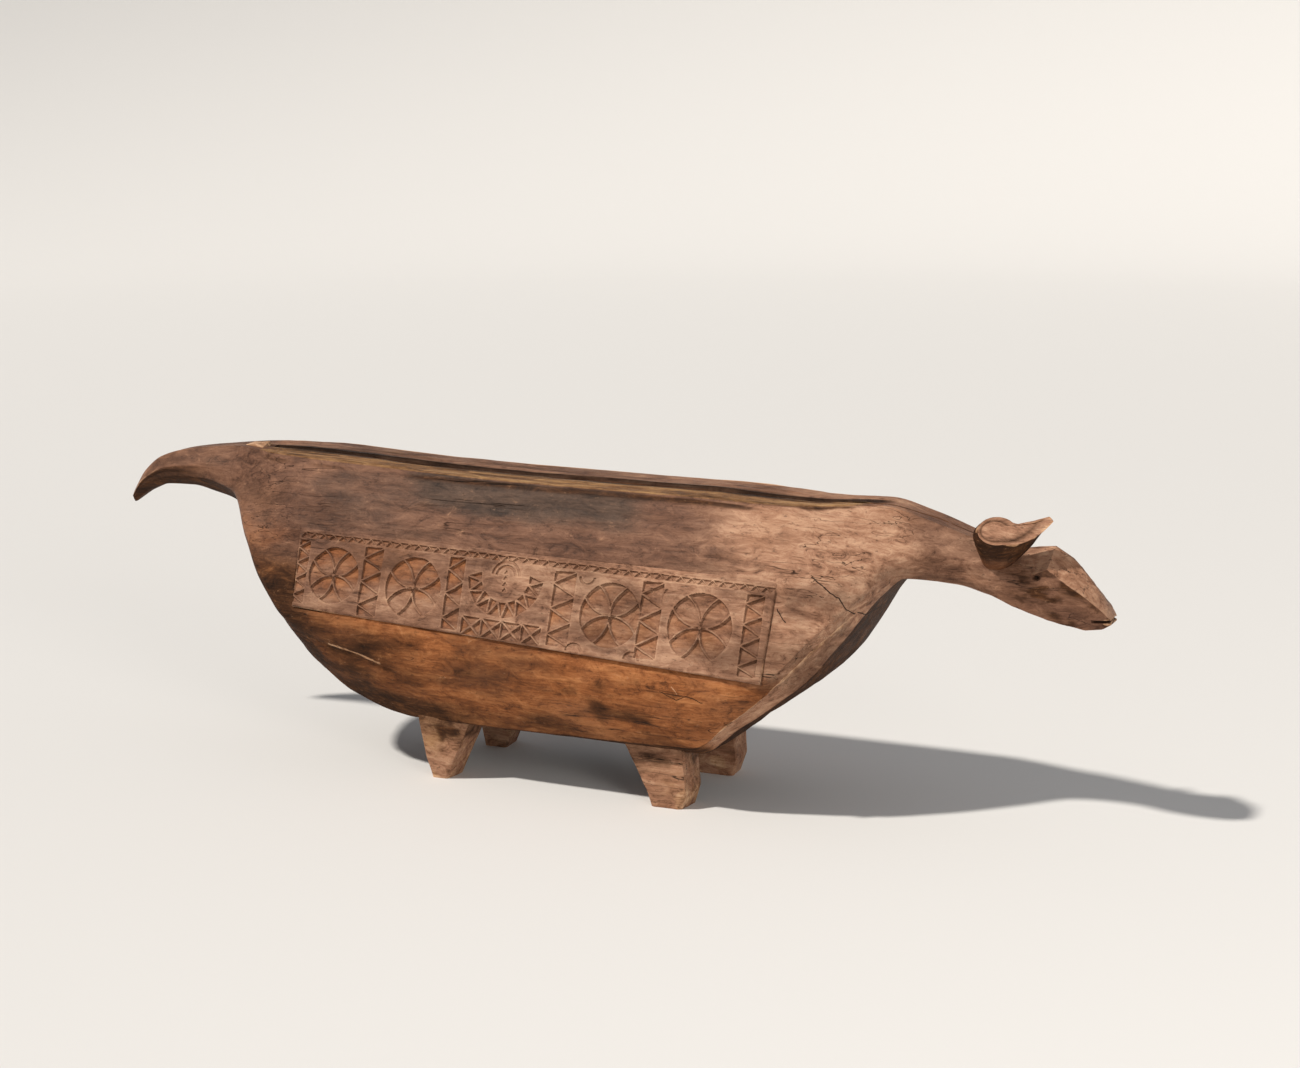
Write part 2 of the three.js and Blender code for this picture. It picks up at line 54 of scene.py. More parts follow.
# ---------------------------------------------------------------- the log's outlines, [x, value]
BACK_Z = [
    [TAIL_X, 0.637], [-1.31, 0.7], [-1.255, 0.742], [-1.18, 0.766], [-1.08, 0.781], [-0.95, 0.792],
    [-0.8, 0.79], [-0.46, 0.778], [0, 0.767], [0.34, 0.767], [0.62, 0.759], [0.8, 0.768],
    [0.905, 0.745], [1.01, 0.711], [1.12, 0.68],
]
KEEL_Z = [
    [TAIL_X, 0.607], [-1.3, 0.643], [-1.23, 0.668], [-1.15, 0.671], [-1.086, 0.658], [-1.01, 0.64],
    [-0.975, 0.6], [-0.94, 0.51], [-0.88, 0.425], [-0.82, 0.356], [-0.71, 0.264], [-0.6, 0.195],
    [-0.48, 0.147], [-0.38, 0.135], [0.39, 0.138], [0.5, 0.205], [0.6, 0.277], [0.68, 0.345],
    [0.745, 0.435], [0.82, 0.545], [0.87, 0.588], [0.982, 0.59], [1.06, 0.572], [1.12, 0.555],
]
LIP_HALF = [
    [TAIL_X, 0.01], [-1.3, 0.018], [-1.1, 0.03], [-1.0, 0.042], [-0.9, 0.084], [-0.82, 0.108],
    [-0.7, 0.12], [0.44, 0.12], [0.58, 0.104], [0.7, 0.076], [0.79, 0.062], [0.86, 0.054],
    [0.98, 0.046], [1.12, 0.034],
]
# Shoulder and flank: x, the shoulder's half-width and height, and the flank's half-width.
SIDE_ROWS = [
    [TAIL_X, 0.018, 0.627, 0.016], [-1.3, 0.042, 0.682, 0.038], [-1.21, 0.058, 0.724, 0.052],
    [-1.1, 0.064, 0.735, 0.062], [-1.0, 0.07, 0.734, 0.08], [-0.9, 0.128, 0.692, 0.176],
    [-0.82, 0.17, 0.662, 0.236], [-0.72, 0.204, 0.636, 0.272], [0.6, 0.206, 0.62, 0.278],
    [0.7, 0.19, 0.622, 0.244], [0.79, 0.146, 0.642, 0.176], [0.86, 0.104, 0.674, 0.108],
    [0.98, 0.076, 0.662, 0.074], [1.12, 0.066, 0.632, 0.064],
]
SHOULDER_HALF, SHOULDER_Z, FLANK_HALF = ([[row[0], row[k]] for row in SIDE_ROWS] for k in (1, 2, 3))
FLANK_Z = [
    [TAIL_X, 0.622], [-1.3, 0.672], [-1.21, 0.706], [-1.1, 0.704], [-1.0, 0.686], [-0.9, 0.6],
    [-0.82, 0.508], [-0.72, 0.432], [-0.38, 0.405], [0.5, 0.39], [0.6, 0.402], [0.7, 0.492],
    [0.79, 0.572], [0.86, 0.636], [0.98, 0.63], [1.12, 0.598],
]
BILGE_HALF = [
    [TAIL_X, 0.011], [-1.3, 0.022], [-1.21, 0.03], [-1.1, 0.036], [-1.0, 0.05], [-0.9, 0.092],
    [-0.82, 0.132], [-0.7, 0.178], [-0.38, 0.205], [0.39, 0.244], [0.5, 0.262], [0.6, 0.266],
    [0.7, 0.232], [0.79, 0.15], [0.86, 0.078], [0.98, 0.062], [1.12, 0.054],
]
BILGE_Z = [
    [TAIL_X, 0.612], [-1.3, 0.65], [-1.21, 0.672], [-1.1, 0.674], [-1.0, 0.652], [-0.96, 0.59],
    [-0.9, 0.478], [-0.82, 0.376], [-0.7, 0.276], [-0.56, 0.196], [-0.38, 0.156], [0.39, 0.172],
    [0.5, 0.25], [0.6, 0.338], [0.7, 0.446], [0.79, 0.536], [0.86, 0.6], [0.982, 0.597],
    [1.12, 0.562],
]
LOW_BULGE = 0.11
BELLY_FRACTIONS = [[1, 1], [0.74, 0.2], [0.4, 0.05], [0, 0]]
WALL, LIP_DEPTH, FLOOR_WALL = 0.058, 0.096, 0.062
CHAMBER_BACK_X, CHAMBER_FRONT_X = -0.8, 0.735
SLIT_HALF, SLIT_BACK_X, SLIT_FRONT_X = 0.017, -0.905, 0.8
SLIT_EXTRA = 0.04
SLIT_Y = [[SLIT_BACK_X, 0], [0.625, 0], [SLIT_FRONT_X, -0.034]]

# The head: x, ridge height, brow half-width and height, jaw half-width and height.
HEAD = [
    [1.04, 0.694, 0.066, 0.655, 0.052, 0.583], [1.12, 0.681, 0.071, 0.633, 0.058, 0.557],
    [1.172, 0.69, 0.072, 0.63, 0.06, 0.541], [1.212, 0.694, 0.072, 0.651, 0.058, 0.529],
    [1.255, 0.668, 0.068, 0.62, 0.054, 0.519], [1.3, 0.62, 0.058, 0.59, 0.047, 0.512],
    [1.338, 0.566, 0.042, 0.555, 0.038, 0.515], [NOSE_X, 0.538, 0.03, 0.535, 0.027, 0.524],
]
HEAD_BLEND = (1.05, 1.13)
EYE = (1.186, 0.629)
MOUTH_Z = 0.5315

# The carved panels' planes: they lean in towards the back.
PANEL_FOOT_Z, PANEL_LEAN = 0.366, 0.35
PANEL_CORNERS = [[-0.7, 0.431], [0.59, PANEL_FOOT_Z], [0.6, 0.59], [-0.71, 0.62]]
PANEL_WIDTH, PANEL_HEIGHT = 1.3, 0.26
PANEL_THICK = 0.026
PANEL_OVERLAP = 1.035
# The near panel is two pieces that meet at this share of its width; the grids' steps are in metres.
PANEL_JOIN = 0.554
NEAR_STEP, FAR_STEP = 0.0015, 0.0026
SEAT_DEPTH, SEAT_INSET, FLAT_REACH = 0.017, 0.004, 0.075
RIDGE = 0.0024
CHIP_DEPTH = 0.0085
CHIP_RUN = math.pi * 0.62
CHIP_WALL_SLOPE = 2.4
PETAL_SPREAD = (47, 17)
BORDER_PITCH, BORDER_HEIGHT = 0.027, 0.015


# ---------------------------------------------------------------- numbers
def along(outline, x):
    """Smooth value of an outline at each x: a cubic whose slopes never overshoot its points."""
    places, values = np.array(outline, float).T
    chord = np.diff(values) / np.diff(places)
    slope = np.empty_like(values)
    slope[0], slope[-1] = chord[0], chord[-1]
    product = chord[:-1] * chord[1:]
    total = np.where(product > 0, chord[:-1] + chord[1:], 1)
    slope[1:-1] = np.where(product > 0, 2 * product / total, 0)
    x = np.clip(x, places[0], places[-1])
    i = np.clip(np.searchsorted(places, x, side="right") - 1, 0, len(places) - 2)
    span = places[i + 1] - places[i]
    t = (x - places[i]) / span
    rise = t * t * (3 - 2 * t)
    leave = slope[i] * span * t * (1 - t) ** 2
    arrive = slope[i + 1] * span * t * t * (t - 1)
    return values[i] + (values[i + 1] - values[i]) * rise + leave + arrive


def smooth(low, high, value):
    t = np.clip((value - low) / (high - low), 0, 1)
    return t * t * (3 - 2 * t)


def band(value, rise, full, fall, end):
    """0 up to rise, 1 from full to fall, and 0 again from end on, with soft steps between."""
    return smooth(rise, full, value) * smooth(end, fall, value)


def bell(value, middle, width):
    return np.exp(-((value - middle) / width) ** 2)


CELL_HASH, SEED_HASH, MIX_HASH = np.array([73856093, 19349663, 83492791]), 2654435761, 1274126177


def noise(points, size, seed, octaves=1):
    """Smooth noise from -1 to 1 at each point; size is the length of one wave in x, y and z."""
    total, weight, reach = 0.0, 1.0, 0.0
    size = np.broadcast_to(np.asarray(size, float), (3,))
    for octave in range(octaves):
        p = points / size * 2 ** octave + 17.3 * octave
        cell = np.floor(p).astype(np.int64)
        t = p - cell
        t = t * t * (3 - 2 * t)
        value = 0.0
        for corner in range(8):
            step = np.array([corner & 1, corner >> 1 & 1, corner >> 2 & 1])
            key = (cell + step) @ CELL_HASH + (seed + octave) * SEED_HASH
            key = (key ^ (key >> 13)) & 0xFFFFFFFF
            key = key * MIX_HASH & 0xFFFFFFFF
            key = (key ^ (key >> 16)) & 0xFFFF
            share = np.prod(np.where(step, t, 1 - t), axis=-1)
            value = value + share * (key / 32767.5 - 1)
        total = total + weight * value
        reach += weight
        weight *= 0.5
    return total / reach


def spread(marks):
    """Stations along a line: marks is a list of [place, steps to the next place]."""
    parts = [np.linspace(a[0], b[0], a[1], endpoint=False) for a, b in zip(marks, marks[1:])]
    return np.concatenate(parts + [[marks[-1][0]]])


# ---------------------------------------------------------------- meshes and pieces
def finish_piece(name, points, faces, material, layers, sharp=30):
    """A closed mesh on the drum's body. A layer is one value or one for each point; left out, it is 0."""
    mesh = bpy.data.meshes.new(name)
    mesh.from_pydata(points.tolist(), [], faces)
    for layer in LAYERS:
        values = np.zeros(len(points)) + np.ravel(layers.get(layer, 0.0))
        attribute = mesh.attributes.new(layer, "FLOAT", "POINT")
        attribute.data.foreach_set("value", values.astype(np.float32))
    piece = bpy.data.objects.new(name, mesh)
    bpy.context.scene.collection.objects.link(piece)
    close_up(mesh)
    mesh.materials.append(material)
    mesh.polygons.foreach_set("use_smooth", [True] * len(mesh.polygons))
    mesh.set_sharp_from_angle(angle=math.radians(sharp))
    mesh.update()
    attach(piece, "root")
    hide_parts("drum")
    return piece


def close_up(mesh):
    """Joins points that coincide, drops faces of no area, and turns the faces outwards."""
    work = bmesh.new()
    work.from_mesh(mesh)
    bmesh.ops.remove_doubles(work, verts=work.verts, dist=2e-5)
    bmesh.ops.dissolve_degenerate(work, edges=work.edges, dist=1e-6)
    bmesh.ops.recalc_face_normals(work, faces=work.faces)
    work.to_mesh(mesh)
    work.free()


def loft_faces(rings, count):
    """Quads between closed rings of points, and a flat face over each end."""
    index = np.arange(rings * count).reshape(rings, count)
    a, b = index[:-1], np.roll(index, -1, axis=1)[:-1]
    c, d = np.roll(index, -1, axis=1)[1:], index[1:]
    quads = np.stack([a, b, c, d], axis=-1).reshape(-1, 4).tolist()
    return quads + [index[0][::-1].tolist(), index[-1].tolist()]


# ---------------------------------------------------------------- the log
STATIONS = spread([
    [TAIL_X, 50], [-1.03, 50], [-0.72, 122], [0.58, 52], [0.88, 22], [1.03, 84], [NOSE_X, 0],
])
LIP_STEPS, SIDE_STEPS, BELLY_STEPS, SLIT_STEPS, CHAMBER_STEPS = 9, 74, 25, 4, 16


def section_points(x, wall, lip_depth, floor_wall):
    """The five points that a cross-section's side curve runs through, and its keel, at each x."""

    def half(outline):
        return np.maximum(along(outline, x) - wall, 0.008)

    top = along(BACK_Z, x) - lip_depth
    shoulder_z = np.minimum(along(SHOULDER_Z, x), top - 0.012)
    flank_z = np.minimum(along(FLANK_Z, x), shoulder_z - 0.004)
    bilge_z = along(BILGE_Z, x) + floor_wall
    flank, bilge = half(FLANK_HALF), half(BILGE_HALF)
    low = (flank + bilge) / 2 + LOW_BULGE * (flank_z - bilge_z)
    points = np.stack([
        np.stack([half(LIP_HALF), top], -1), np.stack([half(SHOULDER_HALF), shoulder_z], -1),
        np.stack([flank, flank_z], -1), np.stack([low, (flank_z + bilge_z) / 2], -1),
        np.stack([bilge, bilge_z], -1),
    ], axis=1)
    return points, along(KEEL_Z, x) + floor_wall


def side_curve(points, shares):
    """A smooth curve through each station's points, at shares of its way from lip to bilge."""
    last = points.shape[1] - 1
    place = shares * last
    i = np.minimum(place.astype(int), last - 1)
    t = (place - i)[None, :, None]
    p0, p1 = points[:, np.maximum(i - 1, 0)], points[:, i]
    p2, p3 = points[:, i + 1], points[:, np.minimum(i + 2, last)]
    m1, m2 = (p2 - p0) / 2, (p3 - p1) / 2
    return (2 * p1 - 2 * p2 + m1 + m2) * t ** 3 + (-3 * p1 + 3 * p2 - 2 * m1 - m2) * t ** 2 + m1 * t + p1


def head_curve(x, shares):
    """The head's side at each x: from the ridge out to the brow, and down to the jaw."""
    rows = np.array(HEAD)
    ridge, brow, brow_z, jaw, jaw_z = (np.interp(x, rows[:, 0], rows[:, k]) for k in range(1, 6))
    corners = np.stack([
        np.stack([0 * x + 0.004, ridge], -1), np.stack([brow, brow_z], -1), np.stack([jaw, jaw_z], -1),
    ], axis=1)
    place = np.interp(shares, [0, 0.45, 1], [0, 1, 2])
    i = np.minimum(place.astype(int), 1)
    t = (place - i)[None, :, None]
    return corners[:, i] * (1 - t) + corners[:, i + 1] * t, jaw_z


def belly_curve(corner, keel, steps):
    """From the bilge in to the keel: a bevel and then a nearly flat belly."""
    across, up = np.array(BELLY_FRACTIONS).T
    t = np.linspace(0, 1, steps + 1)[1:]
    share = np.interp(t, np.linspace(0, 1, len(across)), across)
    rise = np.interp(share, across[::-1], up[::-1])
    y = corner[:, :1] * share[None]
    z = keel[:, None] + (corner[:, 1:] - keel[:, None]) * rise[None]
    return np.stack([y, z], -1)


def slit_half(x):
    middle, reach = (SLIT_BACK_X + SLIT_FRONT_X) / 2, (SLIT_FRONT_X - SLIT_BACK_X) / 2
    inside = (x > SLIT_BACK_X) & (x < SLIT_FRONT_X)
    return np.where(inside, SLIT_HALF * (1 - 0.35 * ((x - middle) / reach) ** 2), 0)


def slit_middle(x):
    return along(SLIT_Y, x) * smooth(0.95, 0.82, x)


def outer_half(x, shift):
    """Half of the log's outside at each x, from the slit's edge over the lip and down to the keel."""
    shares = np.linspace(0, 1, SIDE_STEPS + 1)
    points, keel = section_points(x, 0, 0, 0)
    side = side_curve(points, shares)
    head, jaw = head_curve(x, shares)
    blend = smooth(*HEAD_BLEND, x)[:, None, None]
    side = side * (1 - blend) + head * blend
    keel = keel * (1 - blend[:, 0, 0]) + jaw * blend[:, 0, 0]
    strip = np.linspace(0, 1, LIP_STEPS + 1)[None, :-1, None]
    edge = np.stack([slit_half(x) + shift, side[:, 0, 1]], -1)[:, None]
    lip = edge * (1 - strip) + side[:, :1] * strip
    return np.concatenate([lip, side, belly_curve(side[:, -1], keel, BELLY_STEPS)], axis=1)


def inner_half(x, shift):
    """Half of the slit's wall and the chamber at each x, from the slit's edge down to the floor."""
    half = slit_half(x)
    top = along(BACK_Z, x)
    shares = np.linspace(0, 1, CHAMBER_STEPS * 3 // 4)
    points, keel = section_points(x, WALL, LIP_DEPTH, FLOOR_WALL)
    side = side_curve(points, shares)
    room = np.concatenate([side, belly_curve(side[:, -1], keel, CHAMBER_STEPS // 4)], axis=1)
    inside = ((x > CHAMBER_BACK_X) & (x < CHAMBER_FRONT_X))[:, None]
    foot = top - LIP_DEPTH - np.where(inside[:, 0], 0, SLIT_EXTRA)
    foot = np.where(half > 0, foot, top)
    narrow = half[:, None] * np.linspace(1, 0, room.shape[1])[None] + shift[:, None]
    y = np.where(inside, room[..., 0], narrow)
    z = np.where(inside, room[..., 1], foot[:, None])
    t = np.linspace(0, 1, SLIT_STEPS + 1)[None, 1:]
    wall_z = top[:, None] * (1 - t) + foot[:, None] * t
    wall = np.stack([np.broadcast_to((half + shift)[:, None], wall_z.shape), wall_z], -1)
    return np.concatenate([wall, np.stack([y, z], -1)], axis=1)


def log_stations():
    """The stations, with close pairs where the slit and the chamber begin and end."""
    ends = [SLIT_BACK_X, CHAMBER_BACK_X, CHAMBER_FRONT_X, SLIT_FRONT_X]
    pairs = [end + step for end in ends for step in (-MM, MM)]
    keep = [x for x in STATIONS if min(abs(x - end) for end in ends) > 2.5 * MM]
    return np.sort(np.array(keep + pairs))


def surface_normals(grid):
    """Outward directions on a grid of points whose rings run down the near side."""
    lengthways = np.gradient(grid, axis=0)
    around = np.gradient(grid, axis=1)
    normal = np.cross(around, lengthways)
    return normal / np.maximum(np.linalg.norm(normal, axis=-1, keepdims=True), 1e-9)


def panel_frame(side):
    """A panel's origin and its directions along the log, up the plane, and outwards."""
    lean = math.atan(PANEL_LEAN)
    origin = np.array([0, side * HALF_WIDTH, PANEL_FOOT_Z])
    u = np.array([-side, 0, 0])
    v = np.array([0, -side * math.sin(lean), math.cos(lean)])
    w = np.array([0, side * math.cos(lean), math.sin(lean)])
    return origin, u, v, w


def up_panel(z):
    return (z - PANEL_FOOT_Z) * math.hypot(1, PANEL_LEAN)


def panel_outline(side):
    """A panel's corners in its own plane: foot left, foot right, top right and top left."""
    order = (0, 1, 2, 3) if side < 0 else (1, 0, 3, 2)
    return np.array([[-side * PANEL_CORNERS[k][0], up_panel(PANEL_CORNERS[k][1])] for k in order])


def outside_distance(outline, u, v):
    """How far each place is outside a four-sided outline; below nought it is inside."""
    far = np.full(u.shape, -np.inf)
    for a, b in zip(outline, np.roll(outline, -1, axis=0)):
        edge = (b - a) / np.linalg.norm(b - a)
        far = np.maximum(far, (u - a[0]) * edge[1] - (v - a[1]) * edge[0])
    return far


def sink_under_panels(grid):
    """Flattens the flanks round the panels, and lowers them where the panels' slabs stand."""
    for side in (-1, 1):
        origin, u_way, v_way, w_way = panel_frame(side)
        local = grid - origin
        u, v, height = local @ u_way, local @ v_way, local @ w_way
        outline = panel_outline(side)
        away = outside_distance(outline, u, v)
        (right, right_v), (left, left_v) = outline[2:]
        over_top = v - np.interp(u, [left, right], [left_v, right_v])
        rim = 0.012 * smooth(0.0, FLAT_REACH, away) - 0.008 * smooth(0.0, -0.02, over_top)
        limit = np.where(away < -SEAT_INSET, -SEAT_DEPTH, rim)
        high = (np.sign(grid[..., 1]) == side) & (away < FLAT_REACH) & (height > limit)
        grid -= np.where(high, height - limit, 0)[..., None] * w_way
    return grid


def lip_share(grid):
    """How far out over its lip a point is: 0 at the slit's middle and 1 at the lip's outer edge."""
    return np.abs(grid[..., 1]) / along(LIP_HALF, grid[..., 0])


def slit_reach(x):
    return band(x, -0.98, -0.9, 0.78, 0.84)


# The upper edge of a split on the rear flank, [x, z].
LEDGE = [[-0.66, 0.35], [-0.61, 0.336], [-0.52, 0.321], [-0.417, 0.293], [-0.3, 0.25]]


def ledge_depth(x, z):
    """The rear flank has split away below the ledge's line, as a depth from 0 to 1."""
    below = np.interp(x, *np.transpose(LEDGE)) - z
    return band(below, 0.0, 0.004, 0.01, 0.05) * band(x, -0.66, -0.6, -0.44, -0.36)


def log_relief(grid):
    """Hand-tool facets, fibres and long waves on the log's outside, as a height at each point."""
    x, y, z = np.moveaxis(grid, -1, 0)
    share = lip_share(grid)
    polished = smooth(0.5, 0.62, z)
    lower = smooth(0.5, 0.3, z) * smooth(0.86, 0.6, x)
    waves = 0.0024 * noise(grid, (0.34, 0.2, 0.2), 3, 2)
    facets = 0.0013 * noise(grid, (0.07, 0.045, 0.045), 11, 2) * (1 - 0.6 * polished)
    fibres = 0.0013 * noise(grid, (0.22, 0.016, 0.016), 21, 2) * (0.2 + lower)
    lip = smooth(1.05, 0.97, share) * slit_reach(x) * smooth(0.03, 0.02, along(BACK_Z, x) - z)
    ragged = 0.004 * noise(grid, (0.16, 0.02, 0.03), 31, 3) * lip
    dip = -0.003 * lip * smooth(0.95, 0.2, share) * (y < 0)
    head = smooth(1.06, 1.12, x) * smooth(0.69, 0.63, z)
    hacked = 0.003 * noise(grid, (0.045, 0.03, 0.02), 41, 3) * head
    return waves + facets + fibres + ragged + dip + hacked - 0.006 * ledge_depth(x, z) * (y < 0)


def sunk_marks(grid):
    """Small sunk features: both eyes and the mouth, as depths from 0 to 1."""
    x, y, z = np.moveaxis(grid, -1, 0)
    eye = np.exp(-(((x - EYE[0]) / 0.007) ** 2 + ((z - EYE[1]) / 0.006) ** 2) ** 2)
    mouth = np.exp(-((z - MOUTH_Z) / 0.0028) ** 4) * smooth(1.312, 1.322, x)
    return np.clip(eye * (np.abs(y) > 0.03) + mouth, 0, 1)


class Surface:
    """The log's outside as grids: where each point is, how it faces, and what it lies on.

    belly is a point's share of the way in from the bilge to the keel; it is below 0 on the flank.
    """

    def __init__(self, grid, belly):
        self.grid, self.belly, self.normal = grid, belly, surface_normals(grid)
        self.x, y, self.z = np.moveaxis(grid, -1, 0)
        self.near = y < 0
        self.below = along(BACK_Z, self.x) - self.z
        self.share, self.slit = lip_share(grid), slit_reach(self.x)
        self.wander = self.noise((0.3, 0.12, 0.12), 51, 4)
        self.fine = self.noise((0.12, 0.03, 0.03), 57, 4)
        self.blotch = self.noise((0.07, 0.03, 0.035), 83)
        self.streaks = self.noise((0.35, 0.016, 0.016), 71)
        self.lip = smooth(1.04, 0.98, self.share) * self.slit * smooth(0.04, 0.03, self.below)
        self.taper = band(self.x, -0.95, -0.85, 0.7, 0.8)
        self.ahead = smooth(0.4, 0.47, self.x)
        self.bevel = (belly > 0) & (belly <= 1 / 3)
        head = smooth(1.09, 1.2, self.x + 0.06 * self.wander + 0.03 * self.fine)
        self.head_side = head * smooth(0.72, 0.85, np.abs(self.normal[..., 1]))

    def noise(self, size, seed, octaves=3):
        return noise(self.grid, size, seed, octaves)


def patina_of(s):
    """Grey-brown above and reddish below, with a ragged line between them."""
    patina = smooth(0.42, 0.56, s.z + 0.05 * s.wander + 0.03 * s.fine + 0.12 * smooth(0.55, 0.75, s.x))
    return patina * (1 - 0.35 * smooth(-0.6, -0.8, s.x) * smooth(0.72, 0.6, s.z))


def ochre_of(s):
    """Yellowish along the lips beside the slit."""
    return s.lip * np.where(s.near, (0.75 + 0.5 * s.streaks) * s.taper + 0.1, 0.15 + 0.4 * s.streaks)


def soot_and_shade_of(s):
    """Darker on the belly, on faces turned down, along the flank's lower edge and under the near lip, as
    painted shade; on the stern, as stain and painted shade; and on the sides of head and tail, low at the
    rear, and in stains on flank and lips.
    """
    # Painted shade: the belly, the rear of the bevel and every face turned downwards are darkened.
    under = (s.belly > 1 / 3) + 0.75 * s.bevel * (1 - s.ahead)
    under = np.maximum(under, smooth(-0.35, -0.7, s.normal[..., 2]) * (1 - s.ahead))
    # The stern is darkened: partly stain, partly painted shade.
    stern = band(s.x, -1.0, -0.93, -0.74, -0.58) * smooth(0.66, 0.45, s.z + 0.06 * s.wander)
    tail_side = smooth(-1.02, -1.16, s.x) * smooth(0.4, 0.15, s.normal[..., 2])
    soot_and_shade = 0.95 * under * (1 - s.bevel * s.ahead) + (0.95 + 0.3 * s.wander) * stern + 0.72 * tail_side
    soot_and_shade += (0.5 + 1.5 * s.noise((0.035, 0.015, 0.02), 85)) * s.head_side
    # hem: a painted shadow along the flank's lower edge, under its overhang.
    hem = smooth(0.26, 0.17, s.z + 0.04 * s.fine) * smooth(0.5, 0.3, s.x)
    low_left = smooth(-0.2, -0.52, s.x + 0.1 * s.fine) * smooth(0.47, 0.36, s.z + 0.05 * s.wander)
    stains = smooth(-0.1, 0.6, s.blotch + 0.5 * s.wander + 0.3 * s.fine)
    # under_lip: a painted shadow just under the near lip's edge.
    under_lip = bell(s.share, 1.05, 0.05) * smooth(-0.4, 0.2, s.streaks) * s.near * s.slit
    soot_and_shade = np.maximum.reduce([
        soot_and_shade,
        0.55 * hem + (0.72 + 0.3 * s.blotch + 0.2 * s.fine) * low_left,
        0.62 * stains * smooth(0.45, 0.3, s.z) * (1 - s.bevel),
        0.95 * under_lip * s.taper,
    ])
    return soot_and_shade + 0.55 * s.lip * smooth(0.0, 0.4, s.noise((0.2, 0.01, 0.01), 73))


def bruise_of(s, patina):
    """Greyish beside the slit's middle, and in faint patches over the patina."""
    beside = (0.95 + 0.6 * s.noise((0.3, 0.1, 0.1), 63)) * smooth(0.14, 0.04, s.below)
    beside *= band(s.x, -0.55, -0.3, 0.1, 0.35)
    patches = 0.45 * smooth(0.0, 0.4, s.noise((0.5, 0.16, 0.1), 67)) * patina * (s.x < 0.9)
    return np.maximum(beside, patches) * (1 - s.lip)


def tan_and_light_of(s):
    """Lighter on the front flank and bevel and on top of the head and tail, partly tan wood and partly
    painted light; and tan on the far lip.
    """
    flank = smooth(0.2, 0.62, s.x) * smooth(0.3, 0.42, s.z) * (1 - 0.5 * smooth(0.8, 0.95, s.x))
    # The front flank and bevel are lightened partly as painted light from the front; the tops of head and
    # tail are lightened partly as painted light from above.
    tan_and_light = np.maximum.reduce([
        (0.85 + 0.3 * s.wander) * flank * (1 - s.head_side) * (s.belly <= 0),
        0.85 * s.bevel * s.ahead,
        0.75 * smooth(1.13, 1.2, s.x) * (1 - s.head_side),
        0.35 * smooth(-0.93, -1.05, s.x) * smooth(0.3, 0.5, s.normal[..., 2]),
    ])
    return tan_and_light * (1 - s.lip) + 0.55 * s.lip * ~s.near


def pale_of(s):
    """Bare wood on edges: the front bevel's, the mouth's, the brow's, the far lip's and the tail's."""
    arris = 1.1 * np.exp(-np.abs(s.belly) * 14) * band(s.x, 0.42, 0.5, 0.8, 0.9)
    arris *= smooth(-0.5, 0.1, s.noise((0.05, 0.03, 0.03), 59))
    mouth = smooth(1.33, 1.345, s.x) * bell(s.z, MOUTH_Z, 0.009)
    brow = bell(s.z, EYE[1] - 0.01, 0.0035) * bell(s.x, EYE[0] + 0.001, 0.006)
    far_lip = bell(s.share, 1, 0.06) * s.slit * (s.below < 0.03) * ~s.near
    tail = smooth(-1.2, -1.26, s.x) * bell(s.normal[..., 2], 0.3, 0.2)
    return np.maximum(0.9 * arris + 0.9 * mouth + 0.2 * brow + 0.75 * far_lip, 0.6 * tail)


def log_layers(s):
    """The layers on the log's outside, from 0 to 1 at each point."""
    # slit_line and the sunk marks paint the slit's edges, the eyes and the mouth near black: painted
    # shade in these openings and hollows.
    slit_line = smooth(0.26, 0.16, s.share + 0.09 * s.streaks) * s.slit * (s.below < 0.02)
    gap = np.maximum(sunk_marks(s.grid), slit_line)
    patina = patina_of(s)
    layers = {
        "patina": patina, "ochre": ochre_of(s), "soot_and_shade": soot_and_shade_of(s), "bruise": bruise_of(s, patina),
        "pale": pale_of(s) * (1 - gap), "gap": gap, "tan_and_light": tan_and_light_of(s),
    }
    return {name: np.clip(layer, 0, 1) for name, layer in layers.items()}


def joined(x, first, second, side):
    """Rings at each x: down the first half of a section on one side, and back up the second half."""
    lane = np.broadcast_to(x[:, None, None], first[..., :1].shape)
    down = np.concatenate([lane, side * first[..., :1], first[..., 1:]], -1)
    up = np.concatenate([lane, -side * second[..., :1], second[..., 1:]], -1)
    return np.concatenate([down, up[:, -2::-1]], axis=1)


def belly_shares(count):
    """Each ring point's share of the way in from the bilge to the keel, below 0 on the flank."""
    steps = np.arange(count) - (LIP_STEPS + SIDE_STEPS)
    half = np.clip(steps, -SIDE_STEPS, BELLY_STEPS) / BELLY_STEPS
    return np.concatenate([half, half[-2::-1]])


# The slit's walls and the chamber are painted dark all over: painted shade inside the drum.
INSIDE_LAYERS = {"ochre": 0.1, "soot_and_shade": 1.0}
END_REACH = 0.012


